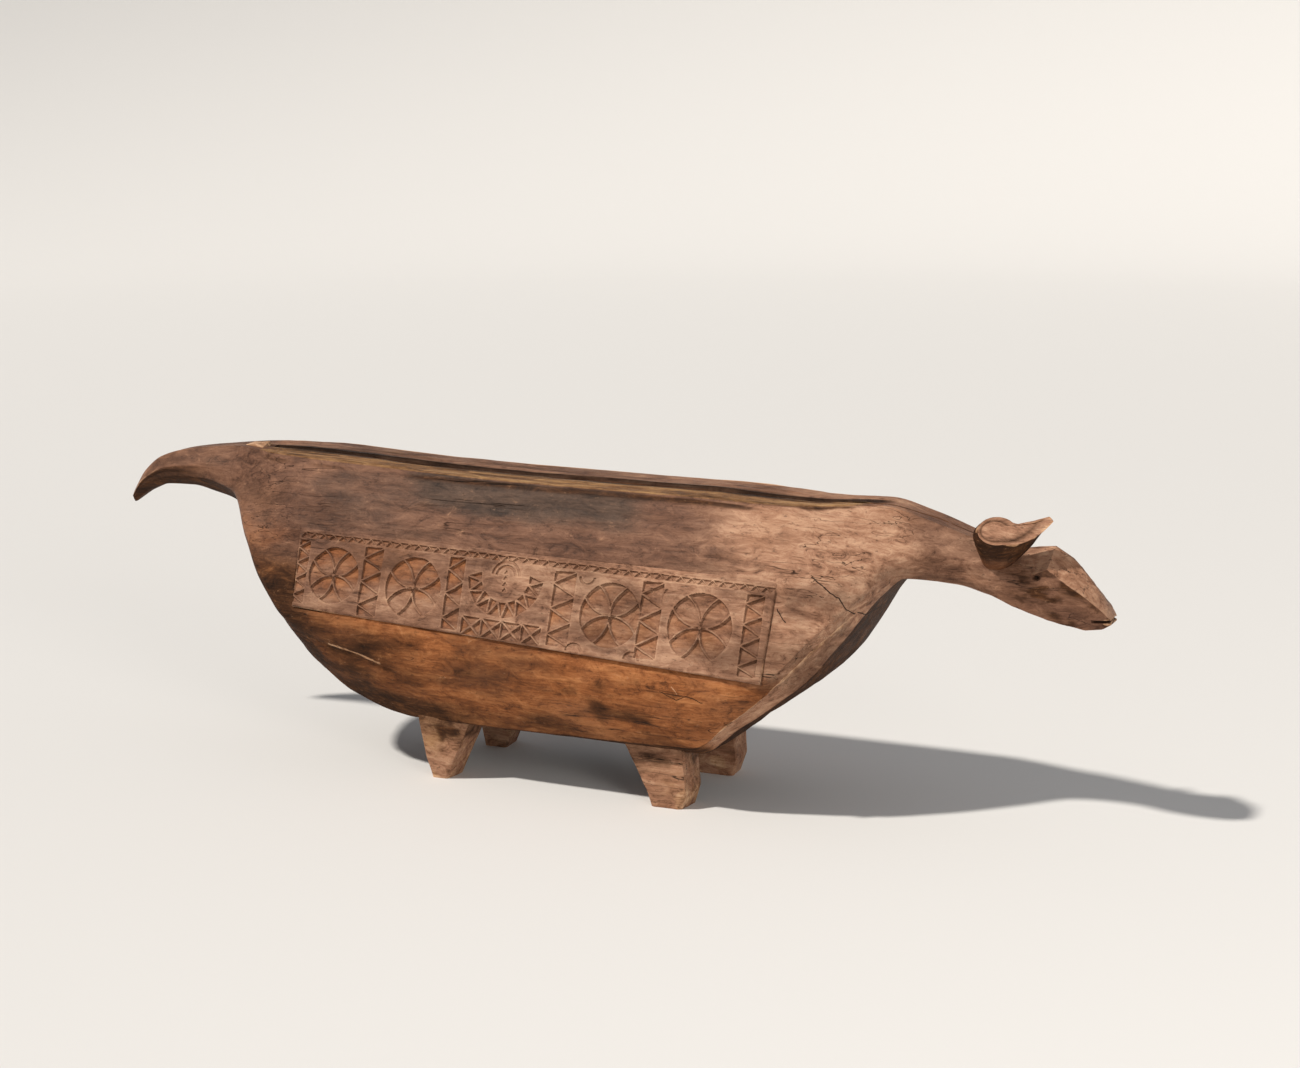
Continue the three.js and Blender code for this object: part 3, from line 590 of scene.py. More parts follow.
def build_log(material):
    x = log_stations()
    middle = slit_middle(x)
    near_half, far_half = outer_half(x, -middle), outer_half(x, middle)
    outer = sink_under_panels(joined(x, near_half, far_half, -1))
    belly = np.broadcast_to(belly_shares(near_half.shape[1]), outer.shape[:2])
    surface = Surface(outer, belly)
    from_tail, from_nose = np.abs(surface.x - TAIL_X), np.abs(surface.x - NOSE_X)
    relief = log_relief(outer) * smooth(0, END_REACH, from_tail) * smooth(0, END_REACH, from_nose)
    relief -= 0.009 * sunk_marks(outer)
    relief -= 0.006 * smooth(0, 0.05, belly) * band(surface.x, 0.4, 0.5, 0.88, 1.0)
    layers = log_layers(surface)
    outer = outer + surface.normal * relief[..., None]
    inside = joined(x, inner_half(x, middle), inner_half(x, -middle), 1)
    # The slit's upper edges follow the lips' own relief, and close where there is no slit.
    closed = slit_half(x) == 0
    crest = (outer[:, 0] + outer[:, -1]) / 2
    outer[closed, 0] = outer[closed, -1] = crest[closed]
    inside[closed] = crest[closed][:, None]
    grid = np.concatenate([outer, inside], axis=1)
    grid[..., 0] = np.clip(grid[..., 0], TAIL_X, NOSE_X)
    grid[..., 1] = np.clip(grid[..., 1], -HALF_WIDTH, HALF_WIDTH)
    values = {
        name: np.concatenate([layer, np.full(inside.shape[:2], INSIDE_LAYERS.get(name, 0.0))], axis=1)
        for name, layer in layers.items()
    }
    return finish_piece("log", grid.reshape(-1, 3), loft_faces(*grid.shape[:2]), material, values, 26)


# ---------------------------------------------------------------- the carved panels
def edge_test(p, outline):
    """Whether each place is inside an outline, and how far it is from the outline's edge."""
    inside, near = np.zeros(len(p), bool), np.full(len(p), np.inf)
    for a, b in zip(outline, np.roll(outline, -1, axis=0)):
        edge = b - a
        t = np.clip(((p - a) @ edge) / (edge @ edge), 0, 1)
        near = np.minimum(near, np.linalg.norm(p - a - t[:, None] * edge, axis=1))
        crosses = (a[1] > p[:, 1]) != (b[1] > p[:, 1])
        slope = edge[0] / np.where(edge[1] == 0, 1e-12, edge[1])
        inside ^= crosses & (p[:, 0] < a[0] + (p[:, 1] - a[1]) * slope)
    return inside, near


def cut_chip(height, grime_and_shade, crest, places, outline, depth):
    """Cuts one chip: steep and deepest on its upper side, running out shallow across its floor; its walls
    are darkened with dirt and painted shade.
    """
    u, v = places
    low, high = outline.min(axis=0) - 2 * RIDGE, outline.max(axis=0) + 2 * RIDGE
    here = np.nonzero((u > low[0]) & (u < high[0]) & (v > low[1]) & (v < high[1]))
    p = np.stack([u[here], v[here]], -1)
    inside, near = edge_test(p, outline)
    middle = outline.mean(axis=0)
    way = np.array([math.cos(CHIP_RUN), math.sin(CHIP_RUN)])
    reach = np.abs((outline - middle) @ way).max()
    share = np.clip(0.5 + 0.5 * ((p - middle) @ way) / reach, 0, 1)
    floor = depth * (0.5 + 0.5 * share ** 1.2)
    cut = np.where(inside, np.minimum(floor, 0.0006 + near * CHIP_WALL_SLOPE), 0)
    height[here] = np.minimum(height[here], -cut)
    # Dark along the chip's walls, most on its deep upper side: dirt in the cut and painted shade.
    wall = np.where(inside, np.exp(-near / 0.0014) * (0.3 + 0.6 * smooth(0.3, 0.8, share)), 0)
    grime_and_shade[here] = np.maximum(grime_and_shade[here], wall)
    # crest: the ridges beside the chips, later painted lighter: worn wood and a painted highlight.
    crest[here] = np.maximum(crest[here], np.where(inside, 0, np.exp(-near / RIDGE)))


def drawn_in(outline, by):
    outline = np.asarray(outline, float)
    middle = outline.mean(axis=0)
    reach = np.linalg.norm(outline - middle, axis=1, keepdims=True)
    return middle + (outline - middle) * np.maximum(reach - by, MM) / reach


def turned(u, v, radius, angle):
    return [u + radius * math.cos(angle), v + radius * math.sin(angle)]


def roundel(u, z, radius):
    """A compass-drawn roundel: four petals in a cross, with four curved sectors between them."""
    v, span = up_panel(z), radius - RIDGE
    wide, narrow = PETAL_SPREAD

    def petal_half(t, ridge):
        """Half of a petal's angle at a share of the radius, moved by a ridge."""
        return math.radians(wide + (narrow - wide) * t) + ridge / (span * t)

    def chip(axis, half, tip_points):
        """A chip as far as half(t) on both sides of an axis, closed by an arc at its tip."""
        sides = [[turned(u, v, span * t, axis + way * half(t)) for t in np.linspace(0.05, 0.97, 14)]
                 for way in (1, -1)]
        tip = [turned(u, v, span, a) for a in np.linspace(axis + half(1), axis - half(1), tip_points)]
        return np.array(sides[0] + tip + sides[1][::-1]), CHIP_DEPTH

    chips = []
    for k in range(4):
        axis = math.pi / 4 + k * math.pi / 2
        chips.append(chip(axis, lambda t: petal_half(t, -RIDGE * 0.7), 8))
        chips.append(chip(axis + math.pi / 4, lambda t: math.pi / 4 - petal_half(t, RIDGE * 0.7), 12))
    return chips


def triangle(a, b, c, depth=CHIP_DEPTH, ridge=RIDGE):
    return drawn_in([a, b, c], ridge * 1.5), depth


def column(u, low_z, high_z, width, teeth):
    """Triangles on both sides of a zigzag ridge that climbs the panel; teeth is an even number."""
    foot, top = np.array([u, up_panel(low_z)]), np.array([u, up_panel(high_z)])

    def edge(tooth, side):
        return foot + (top - foot) * (tooth / teeth) + np.array([side * width / 2, 0])

    chips = []
    for k in range(teeth - 1):
        side = 1 if k % 2 == 0 else -1
        chips.append(triangle(edge(k, side), edge(k + 2, side), edge(k + 1, -side)))
    for end, inner in ((0, 1), (teeth, teeth - 1)):
        chips.append(triangle(edge(end, -1), edge(end, 1), edge(inner, -1)))
    return chips


def cells(start, stop, count):
    """The two ends of each of a number of equal lengths along a line."""
    start, stop = np.array(start), np.array(stop)
    places = [start + (stop - start) * k / count for k in range(count + 1)]
    return zip(places, places[1:])


def border(start, stop):
    """The fine row of small triangles under a panel's upper edge."""
    chips = []
    rise = np.array([0, BORDER_HEIGHT])
    for a, b in cells(start, stop, int(math.dist(start, stop) / BORDER_PITCH)):
        half_step = (b - a) / 2
        for corners in ((a, b, a + half_step + rise), (a + half_step + rise, b + half_step + rise, b)):
            chips.append(triangle(*corners, CHIP_DEPTH * 0.7, RIDGE * 0.5))
    return chips


def arc_band(u, v, radius, start):
    """Half a ring, cut as one curved groove that starts at an angle in degrees."""
    angles = math.radians(start) + np.linspace(0.0, math.pi * 0.95, 24)
    ring = [turned(u, v, radius + 0.0032, a) for a in angles]
    ring += [turned(u, v, radius - 0.0032, a) for a in angles[::-1]]
    return [(np.array(ring), CHIP_DEPTH * 0.55)]


def sun_field(u, v):
    """A small double arch over a stack of triangles, inside a half ring of triangular rays."""
    chips = arc_band(u, v, 0.026, 4) + arc_band(u, v, 0.037, 4)
    for k in range(4):
        y = v + 0.006 - k * 0.015
        chips.append((np.array([[u - 0.007, y], [u + 0.007, y], [u, y + 0.011]]), CHIP_DEPTH * 0.5))
    rays, step = 9, math.radians(196 / 9)
    for k in range(rays):
        a = math.radians(172) + k * step
        points = [turned(u, v, 0.064, a + step * share) for share in (0, 1)]
        chips.append(triangle(*points, turned(u, v, 0.104, a + step / 2)))
        points = [turned(u, v, 0.106, a + step * share) for share in (0.5, 1.5)]
        if k < rays - 1:
            chips.append(triangle(*points, turned(u, v, 0.068, a + step)))
    return chips


def cross_band(left, right, height, count):
    """A band of crosses: each cell is cut as four triangles that meet at its middle."""
    chips = []
    for a, b in cells(left, right, count):
        c, d = b + [0, height], a + [0, height]
        for p, q in ((a, b), (b, c), (c, d), (d, a)):
            chips.append(triangle(p, q, (a + c) / 2))
    return chips


# Roundels are u, z and radius; columns are u, lower and upper z, width and teeth.
NEAR_ROUNDELS = [
    [-0.592, 0.515, 0.074], [-0.361, 0.504, 0.08], [0.183, 0.486, 0.082], [0.42, 0.478, 0.086],
]
NEAR_COLUMNS = [
    [-0.687, 0.44, 0.596, 0.036, 8], [-0.484, 0.424, 0.592, 0.058, 6],
    [-0.246, 0.414, 0.587, 0.048, 6], [0.053, 0.402, 0.578, 0.062, 6],
    [0.288, 0.394, 0.573, 0.06, 6], [0.553, 0.378, 0.566, 0.05, 8],
]
NEAR_ARCS = [[0.112, 0.57, 184], [0.304, 0.56, 184], [0.1, 0.394, 4], [0.254, 0.388, 4]]
FAR_ROUNDELS = [[-0.37, 0.482, 0.08], [0.03, 0.492, 0.08], [0.43, 0.502, 0.08]]
FAR_COLUMNS = [
    [u, z - 0.072, z + 0.072, 0.05, 6]
    for u, z in ((-0.545, 0.476), (-0.17, 0.486), (0.23, 0.496), (0.63, 0.508))
]


def fields(roundels, columns):
    return sum([roundel(*row) for row in roundels] + [column(*row) for row in columns], [])


def near_chips():
    chips = border([-0.705, up_panel(0.6)], [0.59, up_panel(0.571)]) + sun_field(-0.108, up_panel(0.552))
    chips += cross_band([-0.214, up_panel(0.407)], [0.008, up_panel(0.399)], 0.048, 4)
    for u, z, start in NEAR_ARCS:
        chips += arc_band(u, up_panel(z), 0.02, start)
    return chips + fields(NEAR_ROUNDELS, NEAR_COLUMNS)


def far_chips():
    return border([-0.59, up_panel(0.571)], [0.705, up_panel(0.6)]) + fields(FAR_ROUNDELS, FAR_COLUMNS)


def panel_places(side, step, part):
    """A grid over a part of a panel: shares of its width and height, and places in its plane."""
    across, up = int(PANEL_WIDTH * (part[1] - part[0]) / step), int(PANEL_HEIGHT / step)
    s, t = np.meshgrid(np.linspace(*part, across + 1), np.linspace(0, PANEL_OVERLAP, up + 1))
    foot_left, foot_right, top_right, top_left = panel_outline(side)
    foot = foot_left * (1 - s[..., None]) + foot_right * s[..., None]
    top = top_left * (1 - s[..., None]) + top_right * s[..., None]
    place = foot * (1 - t[..., None]) + top * t[..., None]
    return s, t, place[..., 0], place[..., 1]


def slab(front, drop):
    """Points and faces of a slab: a grid of points in front, and its edge dropped back to one face."""
    index = np.arange(front[..., 0].size).reshape(front.shape[:2])
    quads = np.stack([index[:-1, :-1], index[:-1, 1:], index[1:, 1:], index[1:, :-1]], -1)
    rim = np.concatenate([index[0, :-1], index[:-1, -1], index[-1, :0:-1], index[:0:-1, 0]])
    points = front.reshape(-1, 3)
    back = len(points) + np.arange(len(rim))
    skirt = np.stack([rim, back, np.roll(back, -1), np.roll(rim, -1)], -1)
    faces = quads.reshape(-1, 4).tolist() + skirt.tolist() + [back[::-1].tolist()]
    return np.concatenate([points, points[rim] + drop]), faces


def build_panel(name, side, chips, step, material, part):
    """A slab, or a part of one, with the chips cut into its front."""
    s, t, u, v = panel_places(side, step, part)
    flat = np.stack([u, v, np.zeros_like(u)], -1)
    places = [value + 0.0013 * noise(flat, 0.03, seed, 2) for value, seed in ((u, 101), (v, 103))]
    height, grime_and_shade, crest = np.zeros((3, *u.shape))
    for outline, depth in chips:
        cut_chip(height, grime_and_shade, crest, places, outline, depth)
    pit = np.clip(-height / CHIP_DEPTH, 0, 1)
    edge = np.minimum.reduce([s * PANEL_WIDTH, (1 - s) * PANEL_WIDTH, t * PANEL_HEIGHT])
    height += 0.0006 * noise(flat, (0.03, 0.012, 1), 107, 3) * (0.5 + pit)
    height -= 0.0035 * np.exp(-edge / 0.002) * (1 + 0.6 * noise(flat, (0.05, 0.05, 1), 109, 2))
    height += 0.001 * noise(flat, (0.3, 0.1, 1), 113, 2) - 0.0012
    height -= 0.004 * smooth(1.012, PANEL_OVERLAP, t)
    origin, u_way, v_way, w_way = panel_frame(side)
    front = origin + u[..., None] * u_way + v[..., None] * v_way + height[..., None] * w_way
    points, faces = slab(front, -w_way * PANEL_THICK)
    points[:, 1] = np.clip(points[:, 1], -HALF_WIDTH, HALF_WIDTH)
    wear = np.clip(np.exp(-edge / 0.004) * (0.6 + 0.8 * noise(flat, (0.06, 0.03, 1), 117, 3)), 0, 1)
    layers = {
        "patina": 0.95 - 0.6 * pit,
        "ochre": 0.12 * pit + 0.35 * wear,
        # Dark chip walls: dirt and painted shade.
        "soot_and_shade": grime_and_shade,
        "bruise": 0.3 * smooth(0.1, 0.5, noise(flat, (0.2, 0.1, 1), 119, 3)) * (1 - pit),
        # Lighter on the ridges between chips: worn wood and a painted highlight.
        "pale": 0.1 + 0.16 * crest * (pit < 0.1) + 0.4 * wear * (edge < 0.006),
        # Lighter on ridges and towards larger u (the front end on the near panel): tan wood, painted
        # highlight and painted light.
        "tan_and_light": (0.6 - 0.1 * pit + 0.3 * crest) * (0.6 + 0.4 * smooth(-0.55, 0.3, u)),
    }
    back = np.zeros(len(points) - u.size)
    values = {key: np.concatenate([layer.ravel(), back]) for key, layer in layers.items()}
    # The slab's back and side walls are darkened: painted shade where the slab stands proud of the flank.
    values["soot_and_shade"][u.size:] = 0.6
    return finish_piece(name, points, faces, material, values)


# ---------------------------------------------------------------- legs, stump, knob and horn
LEGS = {
    "front": {"top": (0.176, 0.352), "foot": (0.252, 0.356), "bulge": (0.246, 0.368)},
    "rear": {"top": (-0.384, -0.206), "foot": (-0.36, -0.292), "bulge": (-0.364, -0.276)},
}
# Each level's name, height and how far its corners are drawn in.
LEG_LEVELS = [["foot", 0.0, 0.014], ["bulge", 0.046, 0.008], ["top", 0.2, 0.0]]
LEG_INNER_Y, LEG_OUTER_Y, LEG_ROUGH = 0.104, 0.214, 0.003
LEG_SIDE_STEPS, LEG_ROWS = 26, 44


def leg_ring(ends, z, inset, side):
    """One level of a leg, as a ring of points through its four corners."""
    (x0, x1), y0, y1 = ends, side * (LEG_INNER_Y + inset), side * (LEG_OUTER_Y - inset)
    corners = np.array([[x0, y0, z], [x1, y0, z], [x1 - inset / 2, y1, z], [x0 + inset, y1, z]])
    steps = np.arange(LEG_SIDE_STEPS)[:, None] / LEG_SIDE_STEPS
    return np.concatenate([a + (b - a) * steps for a, b in zip(corners, np.roll(corners, -1, axis=0))])


def build_leg(name, sizes, side, material, seed):
    """A block through a leg's levels, with worn corners and a rough hand-cut skin."""
    rings = np.array([leg_ring(sizes[level], z, inset, side) for level, z, inset in LEG_LEVELS])
    places = np.linspace(0, len(rings) - 1, LEG_ROWS)
    low = np.minimum(places.astype(int), len(rings) - 2)
    share = (places - low)[:, None, None]
    grid = rings[low] * (1 - share) + rings[low + 1] * share
    middle = grid.mean(axis=1, keepdims=True)
    half_side = LEG_SIDE_STEPS / 2
    corner = np.abs((np.arange(grid.shape[1]) + half_side) % LEG_SIDE_STEPS - half_side) / LEG_SIDE_STEPS
    worn = 0.03 + 0.05 * smooth(0.07, 0.0, grid[..., 2])
    grid += (middle - grid) * (worn * bell(corner, 0, 0.07))[..., None]
    spoke = grid - middle
    spoke /= np.maximum(np.linalg.norm(spoke, axis=-1, keepdims=True), 1e-6)
    lump = noise(grid, (0.05, 0.05, 0.12), seed, 3) + noise(grid, (0.012, 0.012, 0.05), seed + 7, 2) / 3
    grid[..., :2] += spoke[..., :2] * (LEG_ROUGH * (lump - 0.5))[..., None]
    sole = [middle[0] + (grid[0] - middle[0]) * k for k in (0.0, 0.35, 0.7, 0.93)]
    grid = np.concatenate([np.array(sole), grid, middle[-1:] + 0 * grid[-1:]])
    grid[..., 2] = np.maximum(grid[..., 2], 0)
    patch = noise(grid, (0.06, 0.05, 0.04), seed + 3, 3)
    pale = 0.5 * smooth(-0.1, 0.4, patch) * (0.2 + smooth(0.1, 0.03, grid[..., 2]))
    # Dark patches on the leg, and darker towards its top: painted shade under the belly.
    soot_and_shade = 0.45 * smooth(0.1, -0.5, patch) + 0.5 * smooth(0.08, 0.16, grid[..., 2])
    layers = {"patina": 0.45, "ochre": 0.3, "tan_and_light": 0.7, "pale": pale, "soot_and_shade": soot_and_shade}
    return finish_piece(name, grid.reshape(-1, 3), loft_faces(*grid.shape[:2])[:-2], material, layers)


# The far horn's stump and the lump behind the tail end of the slit, by their corners.
STUMP = [
    [1.062, 0.04, 0.64], [1.1, 0.04, 0.636], [1.096, 0.074, 0.662], [1.066, 0.072, 0.666],
    [1.07, 0.06, 0.694], [1.094, 0.062, 0.684], [1.082, 0.082, 0.676],
]
KNOB = [
    [-1.0, -0.038, 0.77], [-1.0, 0.024, 0.77], [-0.912, -0.06, 0.77], [-0.912, 0.034, 0.77],
    [-0.984, -0.024, 0.792], [-0.978, 0.01, 0.796], [-0.94, -0.04, TOP_Z], [-0.93, 0.012, TOP_Z],
    [-0.915, -0.048, 0.792],
]
RAW_WOOD = {"patina": 0.8, "ochre": 0.3, "pale": 0.5, "tan_and_light": 0.8}


def splinter(name, corners, material, seed):
    """A small broken lump: the hull of its corners, roughened."""
    work = bmesh.new()
    for corner in corners:
        work.verts.new(corner)
    hull = bmesh.ops.convex_hull(work, input=work.verts[:])
    spare = [thing for thing in hull["geom_interior"] if isinstance(thing, bmesh.types.BMVert)]
    bmesh.ops.delete(work, geom=spare, context="VERTS")
    for _ in range(4):
        bmesh.ops.subdivide_edges(work, edges=work.edges[:], cuts=1, use_grid_fill=True)
        bmesh.ops.triangulate(work, faces=work.faces[:])
    work.verts.index_update()
    points = np.array([vert.co[:] for vert in work.verts])
    faces = [[vert.index for vert in face.verts] for face in work.faces]
    work.free()
    middle = points.mean(axis=0)
    spoke = (points - middle) / np.linalg.norm(points - middle, axis=1, keepdims=True)
    lump = noise(points, (0.03, 0.012, 0.012), seed, 3)
    points = points + spoke * (lump * 0.0025 - 0.0028)[:, None]
    return finish_piece(name, points, faces, material, RAW_WOOD)


HORN_FACE = np.array([1.105, -0.12, 0.725])
HORN_NORMAL = np.array([0.1, -0.72, 0.68]) / np.linalg.norm([0.1, -0.72, 0.68])
HORN_ROOT = np.array([1.072, -0.052, 0.636])
HORN_TIP = [[0.118, 0.066], [0.114, 0.074], [0.106, 0.078]]
ROUND_STEPS, HORN_ROWS = 60, 22
# Rows over the horn's flat face: each row's share of the way out from its heart, and how much it is
# darkened.
FACE_ROWS = [
    [0.985, 0.0], [0.94, 0.05], [0.82, 0.3], [0.72, 0.55], [0.62, 0.2], [0.4, 0.0], [0.18, 0.1],
    [0.0, 0.3],
]
GROOVE_SHARE = 0.72


def bezier(a, b, c, steps):
    t = np.linspace(0, 1, steps, endpoint=False)[:, None]
    a, b, c = np.array(a), np.array(b), np.array(c)
    return a * (1 - t) ** 2 + 2 * b * t * (1 - t) + c * t * t


def horn_outline():
    """The horn's flat face as an outline: a round end that draws out to a bent tip."""
    angles = np.radians(np.linspace(50, 300, ROUND_STEPS, endpoint=False))
    round_end = np.stack([-0.005 + 0.046 * np.cos(angles), 0.02 + 0.039 * np.sin(angles)], -1)
    return np.concatenate([
        round_end, bezier(round_end[-1], [0.078, -0.016], HORN_TIP[0], 30), bezier(*HORN_TIP, 6),
        bezier(HORN_TIP[2], [0.058, 0.038], round_end[0], 26),
    ])


def build_horn(material):
    """The near horn widens from its root to a flat face with a shallow groove round it."""
    outline = horn_outline()
    across = np.array([1.0, 0, 0]) - HORN_NORMAL[0] * HORN_NORMAL
    across /= np.linalg.norm(across)
    upward = np.cross(HORN_NORMAL, across)

    def ring(middle, flat):
        return middle + flat[:, :1] * across + flat[:, 1:] * upward

    walls = []
    for t in np.linspace(0, 1, HORN_ROWS):
        middle = HORN_ROOT * (1 - t) + HORN_FACE * t - 0.009 * band(t, 0.2, 0.8, 0.85, 1.0) * across
        walls.append(ring(middle, outline * np.interp(t, [0, 0.45, 0.86], [0.42, 0.76, 1.0])))
    walls = np.array(walls)
    spoke = walls - walls.mean(axis=1, keepdims=True)
    spoke /= np.linalg.norm(spoke, axis=-1, keepdims=True)
    rough = 0.0022 * np.abs(noise(walls, (0.03, 0.02, 0.012), 211, 3))
    rough[-1] *= 0.4
    walls = walls - spoke * (rough + 0.0004)[..., None]
    heart = outline[:ROUND_STEPS].mean(axis=0)
    face = []
    for share, _ in FACE_ROWS:
        dip = -0.0035 * (1 - share) ** 0.7 - 0.002 * bell(share, GROOVE_SHARE, 0.09)
        face.append(ring(HORN_FACE + dip * HORN_NORMAL, heart + (outline - heart) * share))
    face = np.array(face)
    face += HORN_NORMAL * (noise(face, (0.03, 0.02, 0.02), 217, 3) * 0.0008)[..., None]
    foot = walls[:1].mean(axis=1, keepdims=True) + 0 * walls[:1]
    grid = np.concatenate([foot, walls, face])
    row = np.arange(len(grid))[:, None] + np.zeros(grid.shape[:2])
    on_face = row > HORN_ROWS
    rim = np.abs(row - HORN_ROWS) <= 1
    chipped = smooth(-0.15, 0.3, noise(grid, (0.03, 0.02, 0.02), 223, 3))
    # The horn's walls are painted dark, most just under the face: painted shade. The flat face is painted
    # lighter than the walls: partly painted light from above.
    soot_and_shade = 0.85 * (1 - 0.4 * smooth(0.69, 0.655, grid[..., 2]))
    soot_and_shade[HORN_ROWS + 1:] = np.array(FACE_ROWS)[:, 1:]
    layers = {
        "patina": np.where(on_face, 1.0, 0.6), "ochre": np.where(on_face, 0.0, 0.15), "soot_and_shade": soot_and_shade,
        "bruise": np.where(on_face, 0.12, 0.0), "tan_and_light": np.where(on_face, 0.65, 0.1),
        "pale": np.clip((0.8 * rim + 0.4 * smooth(1.17, 1.21, grid[..., 0])) * chipped, 0, 1),
    }
    return finish_piece("horn", grid.reshape(-1, 3), loft_faces(*grid.shape[:2])[:-2], material, layers)


# ---------------------------------------------------------------- material
class Nodes:
    """Short names for the shader nodes that the wood is made of."""

    def __init__(self, name):
        self.material = bpy.data.materials.new(name)
        self.material.use_nodes = True
        self.tree = self.material.node_tree
        self.shader = self.tree.nodes["Principled BSDF"]

    def put(self, kind, inputs=(), **settings):
        """A new node with its settings, and a value or a link for each input by name or number."""
        node = self.tree.nodes.new(kind)
        for key, value in settings.items():
            setattr(node, key, value)
        for key, value in dict(inputs).items():
            self.feed(node.inputs[key], value)
        return node

    def feed(self, socket, value):
        if isinstance(value, bpy.types.NodeSocket):
            self.tree.links.new(value, socket)
        else:
            socket.default_value = value

    def value(self, layer):
        return self.put("ShaderNodeAttribute", attribute_name=layer).outputs["Fac"]

    def spot(self):
        return self.put("ShaderNodeTexCoord").outputs["Object"]

    def noise(self, scale, stretch=(1, 1, 1), detail=6.0, rough=0.6, twist=0.0):
        place = self.put("ShaderNodeMapping", {"Vector": self.spot(), "Scale": stretch}).outputs["Vector"]
        inputs = {"Scale": scale, "Detail": detail, "Roughness": rough, "Distortion": twist}
        return self.put("ShaderNodeTexNoise", inputs | {"Vector": place}).outputs["Fac"]

    def vector(self, how, a, b=(0, 0, 0)):
        return self.put("ShaderNodeVectorMath", {0: a, 1: b}, operation=how).outputs

    def math(self, how, a, b=0.0, clamp=False):
        return self.put("ShaderNodeMath", {0: a, 1: b}, operation=how, use_clamp=clamp).outputs[0]

    def weighted(self, *terms):
        """The sum of some values, each times its own weight."""
        total = 0.0
        for value, weight in terms:
            total = self.math("ADD", self.math("MULTIPLY", value, weight), total)
        return total

    def step(self, value, low, high):
        """0 below low and 1 above high, with a soft rise between them; low may be the larger."""
        start, end = (0.0, 1.0) if low < high else (1.0, 0.0)
        inputs = {"From Min": min(low, high), "From Max": max(low, high), "To Min": start, "To Max": end}
        node = self.put("ShaderNodeMapRange", inputs | {"Value": value}, interpolation_type="SMOOTHSTEP")
        return node.outputs["Result"]

    def line(self, corners, width):
        """1 along a thin wandering line over the near flank, through [x, z] corners, and 0 elsewhere."""
        x, y, z = self.put("ShaderNodeSeparateXYZ", {0: self.spot()}).outputs
        wander = self.math("MULTIPLY", self.math("SUBTRACT", self.noise(30.0, detail=3.0), 0.5), 0.014)
        flat = self.put("ShaderNodeCombineXYZ", {0: x, 1: self.math("ADD", z, wander)}).outputs[0]
        found = 0.0
        for a, b in zip(corners, corners[1:]):
            way = Vector((b[0] - a[0], b[1] - a[1], 0))
            reach = self.vector("SUBTRACT", flat, (*a, 0))[0]
            share = self.vector("DOT_PRODUCT", reach, tuple(way / way.length_squared))["Value"]
            share = self.math("ADD", share, 0.0, True)
            scaled = self.put("ShaderNodeVectorMath", {0: tuple(way), "Scale": share}, operation="SCALE")
            gap = self.vector("SUBTRACT", reach, scaled.outputs[0])[0]
            away = self.vector("LENGTH", gap)["Value"]
            found = self.math("MAXIMUM", found, self.step(away, width, width * 0.3))
        return self.math("MULTIPLY", found, self.step(y, 0.0, -0.02))

    def ramp(self, value, stops):
        node = self.put("ShaderNodeValToRGB", {"Fac": value})
        elements = node.color_ramp.elements
        for element, (place, colour) in zip(elements, (stops[0], stops[-1])):
            element.position, element.color = place, (*colour, 1)
        for place, colour in stops[1:-1]:
            elements.new(place).color = (*colour, 1)
        return node.outputs["Color"]

    def mix(self, share, a, b):
        """Colour b over colour a; each is a link or three numbers."""
        a, b = (c if isinstance(c, bpy.types.NodeSocket) else (*c, 1) for c in (a, b))
        return self.put("ShaderNodeMix", {"Factor": share, 6: a, 7: b}, data_type="RGBA").outputs[2]


# Long cracks and scratches on the near flank: [x, z] corners, and half of the mark's width.
CRACKS = [
    ([[0.68, 0.612], [0.715, 0.59], [0.75, 0.566], [0.79, 0.507]], 0.0016),
    ([[0.608, 0.534], [0.62, 0.52], [0.634, 0.508]], 0.0016),
    ([[0.33, 0.318], [0.372, 0.302], [0.4, 0.313], [0.44, 0.303]], 0.0013),
]
SCRATCHES = [
    ([[-0.6, 0.339], [-0.56, 0.332], [-0.52, 0.322], [-0.45, 0.304]], 0.0045),
    ([[0.36, 0.335], [0.375, 0.318]], 0.0016),
]
# The wood's colours, each as stops of the grain's tone and a colour, from dark grain to light.
WOODS = {
    "lower": ((0.39, (0.06, 0.017, 0.004)), (0.49, (0.24, 0.081, 0.026)), (0.59, (0.43, 0.175, 0.064))),
    "upper": ((0.4, (0.045, 0.02, 0.012)), (0.49, (0.128, 0.06, 0.036)), (0.58, (0.225, 0.113, 0.069))),
    "tan_and_light": ((0.4, (0.11, 0.046, 0.024)), (0.49, (0.315, 0.16, 0.095)), (0.58, (0.5, 0.3, 0.19))),
    "ochre": ((0.41, (0.04, 0.016, 0.005)), (0.48, (0.19, 0.086, 0.03)), (0.58, (0.42, 0.235, 0.1))),
    "dark": ((0.4, (0.008, 0.003, 0.001)), (0.5, (0.042, 0.016, 0.006)), (0.6, (0.13, 0.052, 0.02))),
    "grey": ((0.4, (0.012, 0.008, 0.006)), (0.58, (0.085, 0.054, 0.038))),
    "raw": ((0.42, (0.13, 0.06, 0.026)), (0.5, (0.4, 0.215, 0.115)), (0.58, (0.66, 0.43, 0.27))),
}
# Near black for the cracks, and painted shade in the slit, eyes and mouth.
CRACK_AND_SHADE_COLOUR = (0.008, 0.004, 0.002)


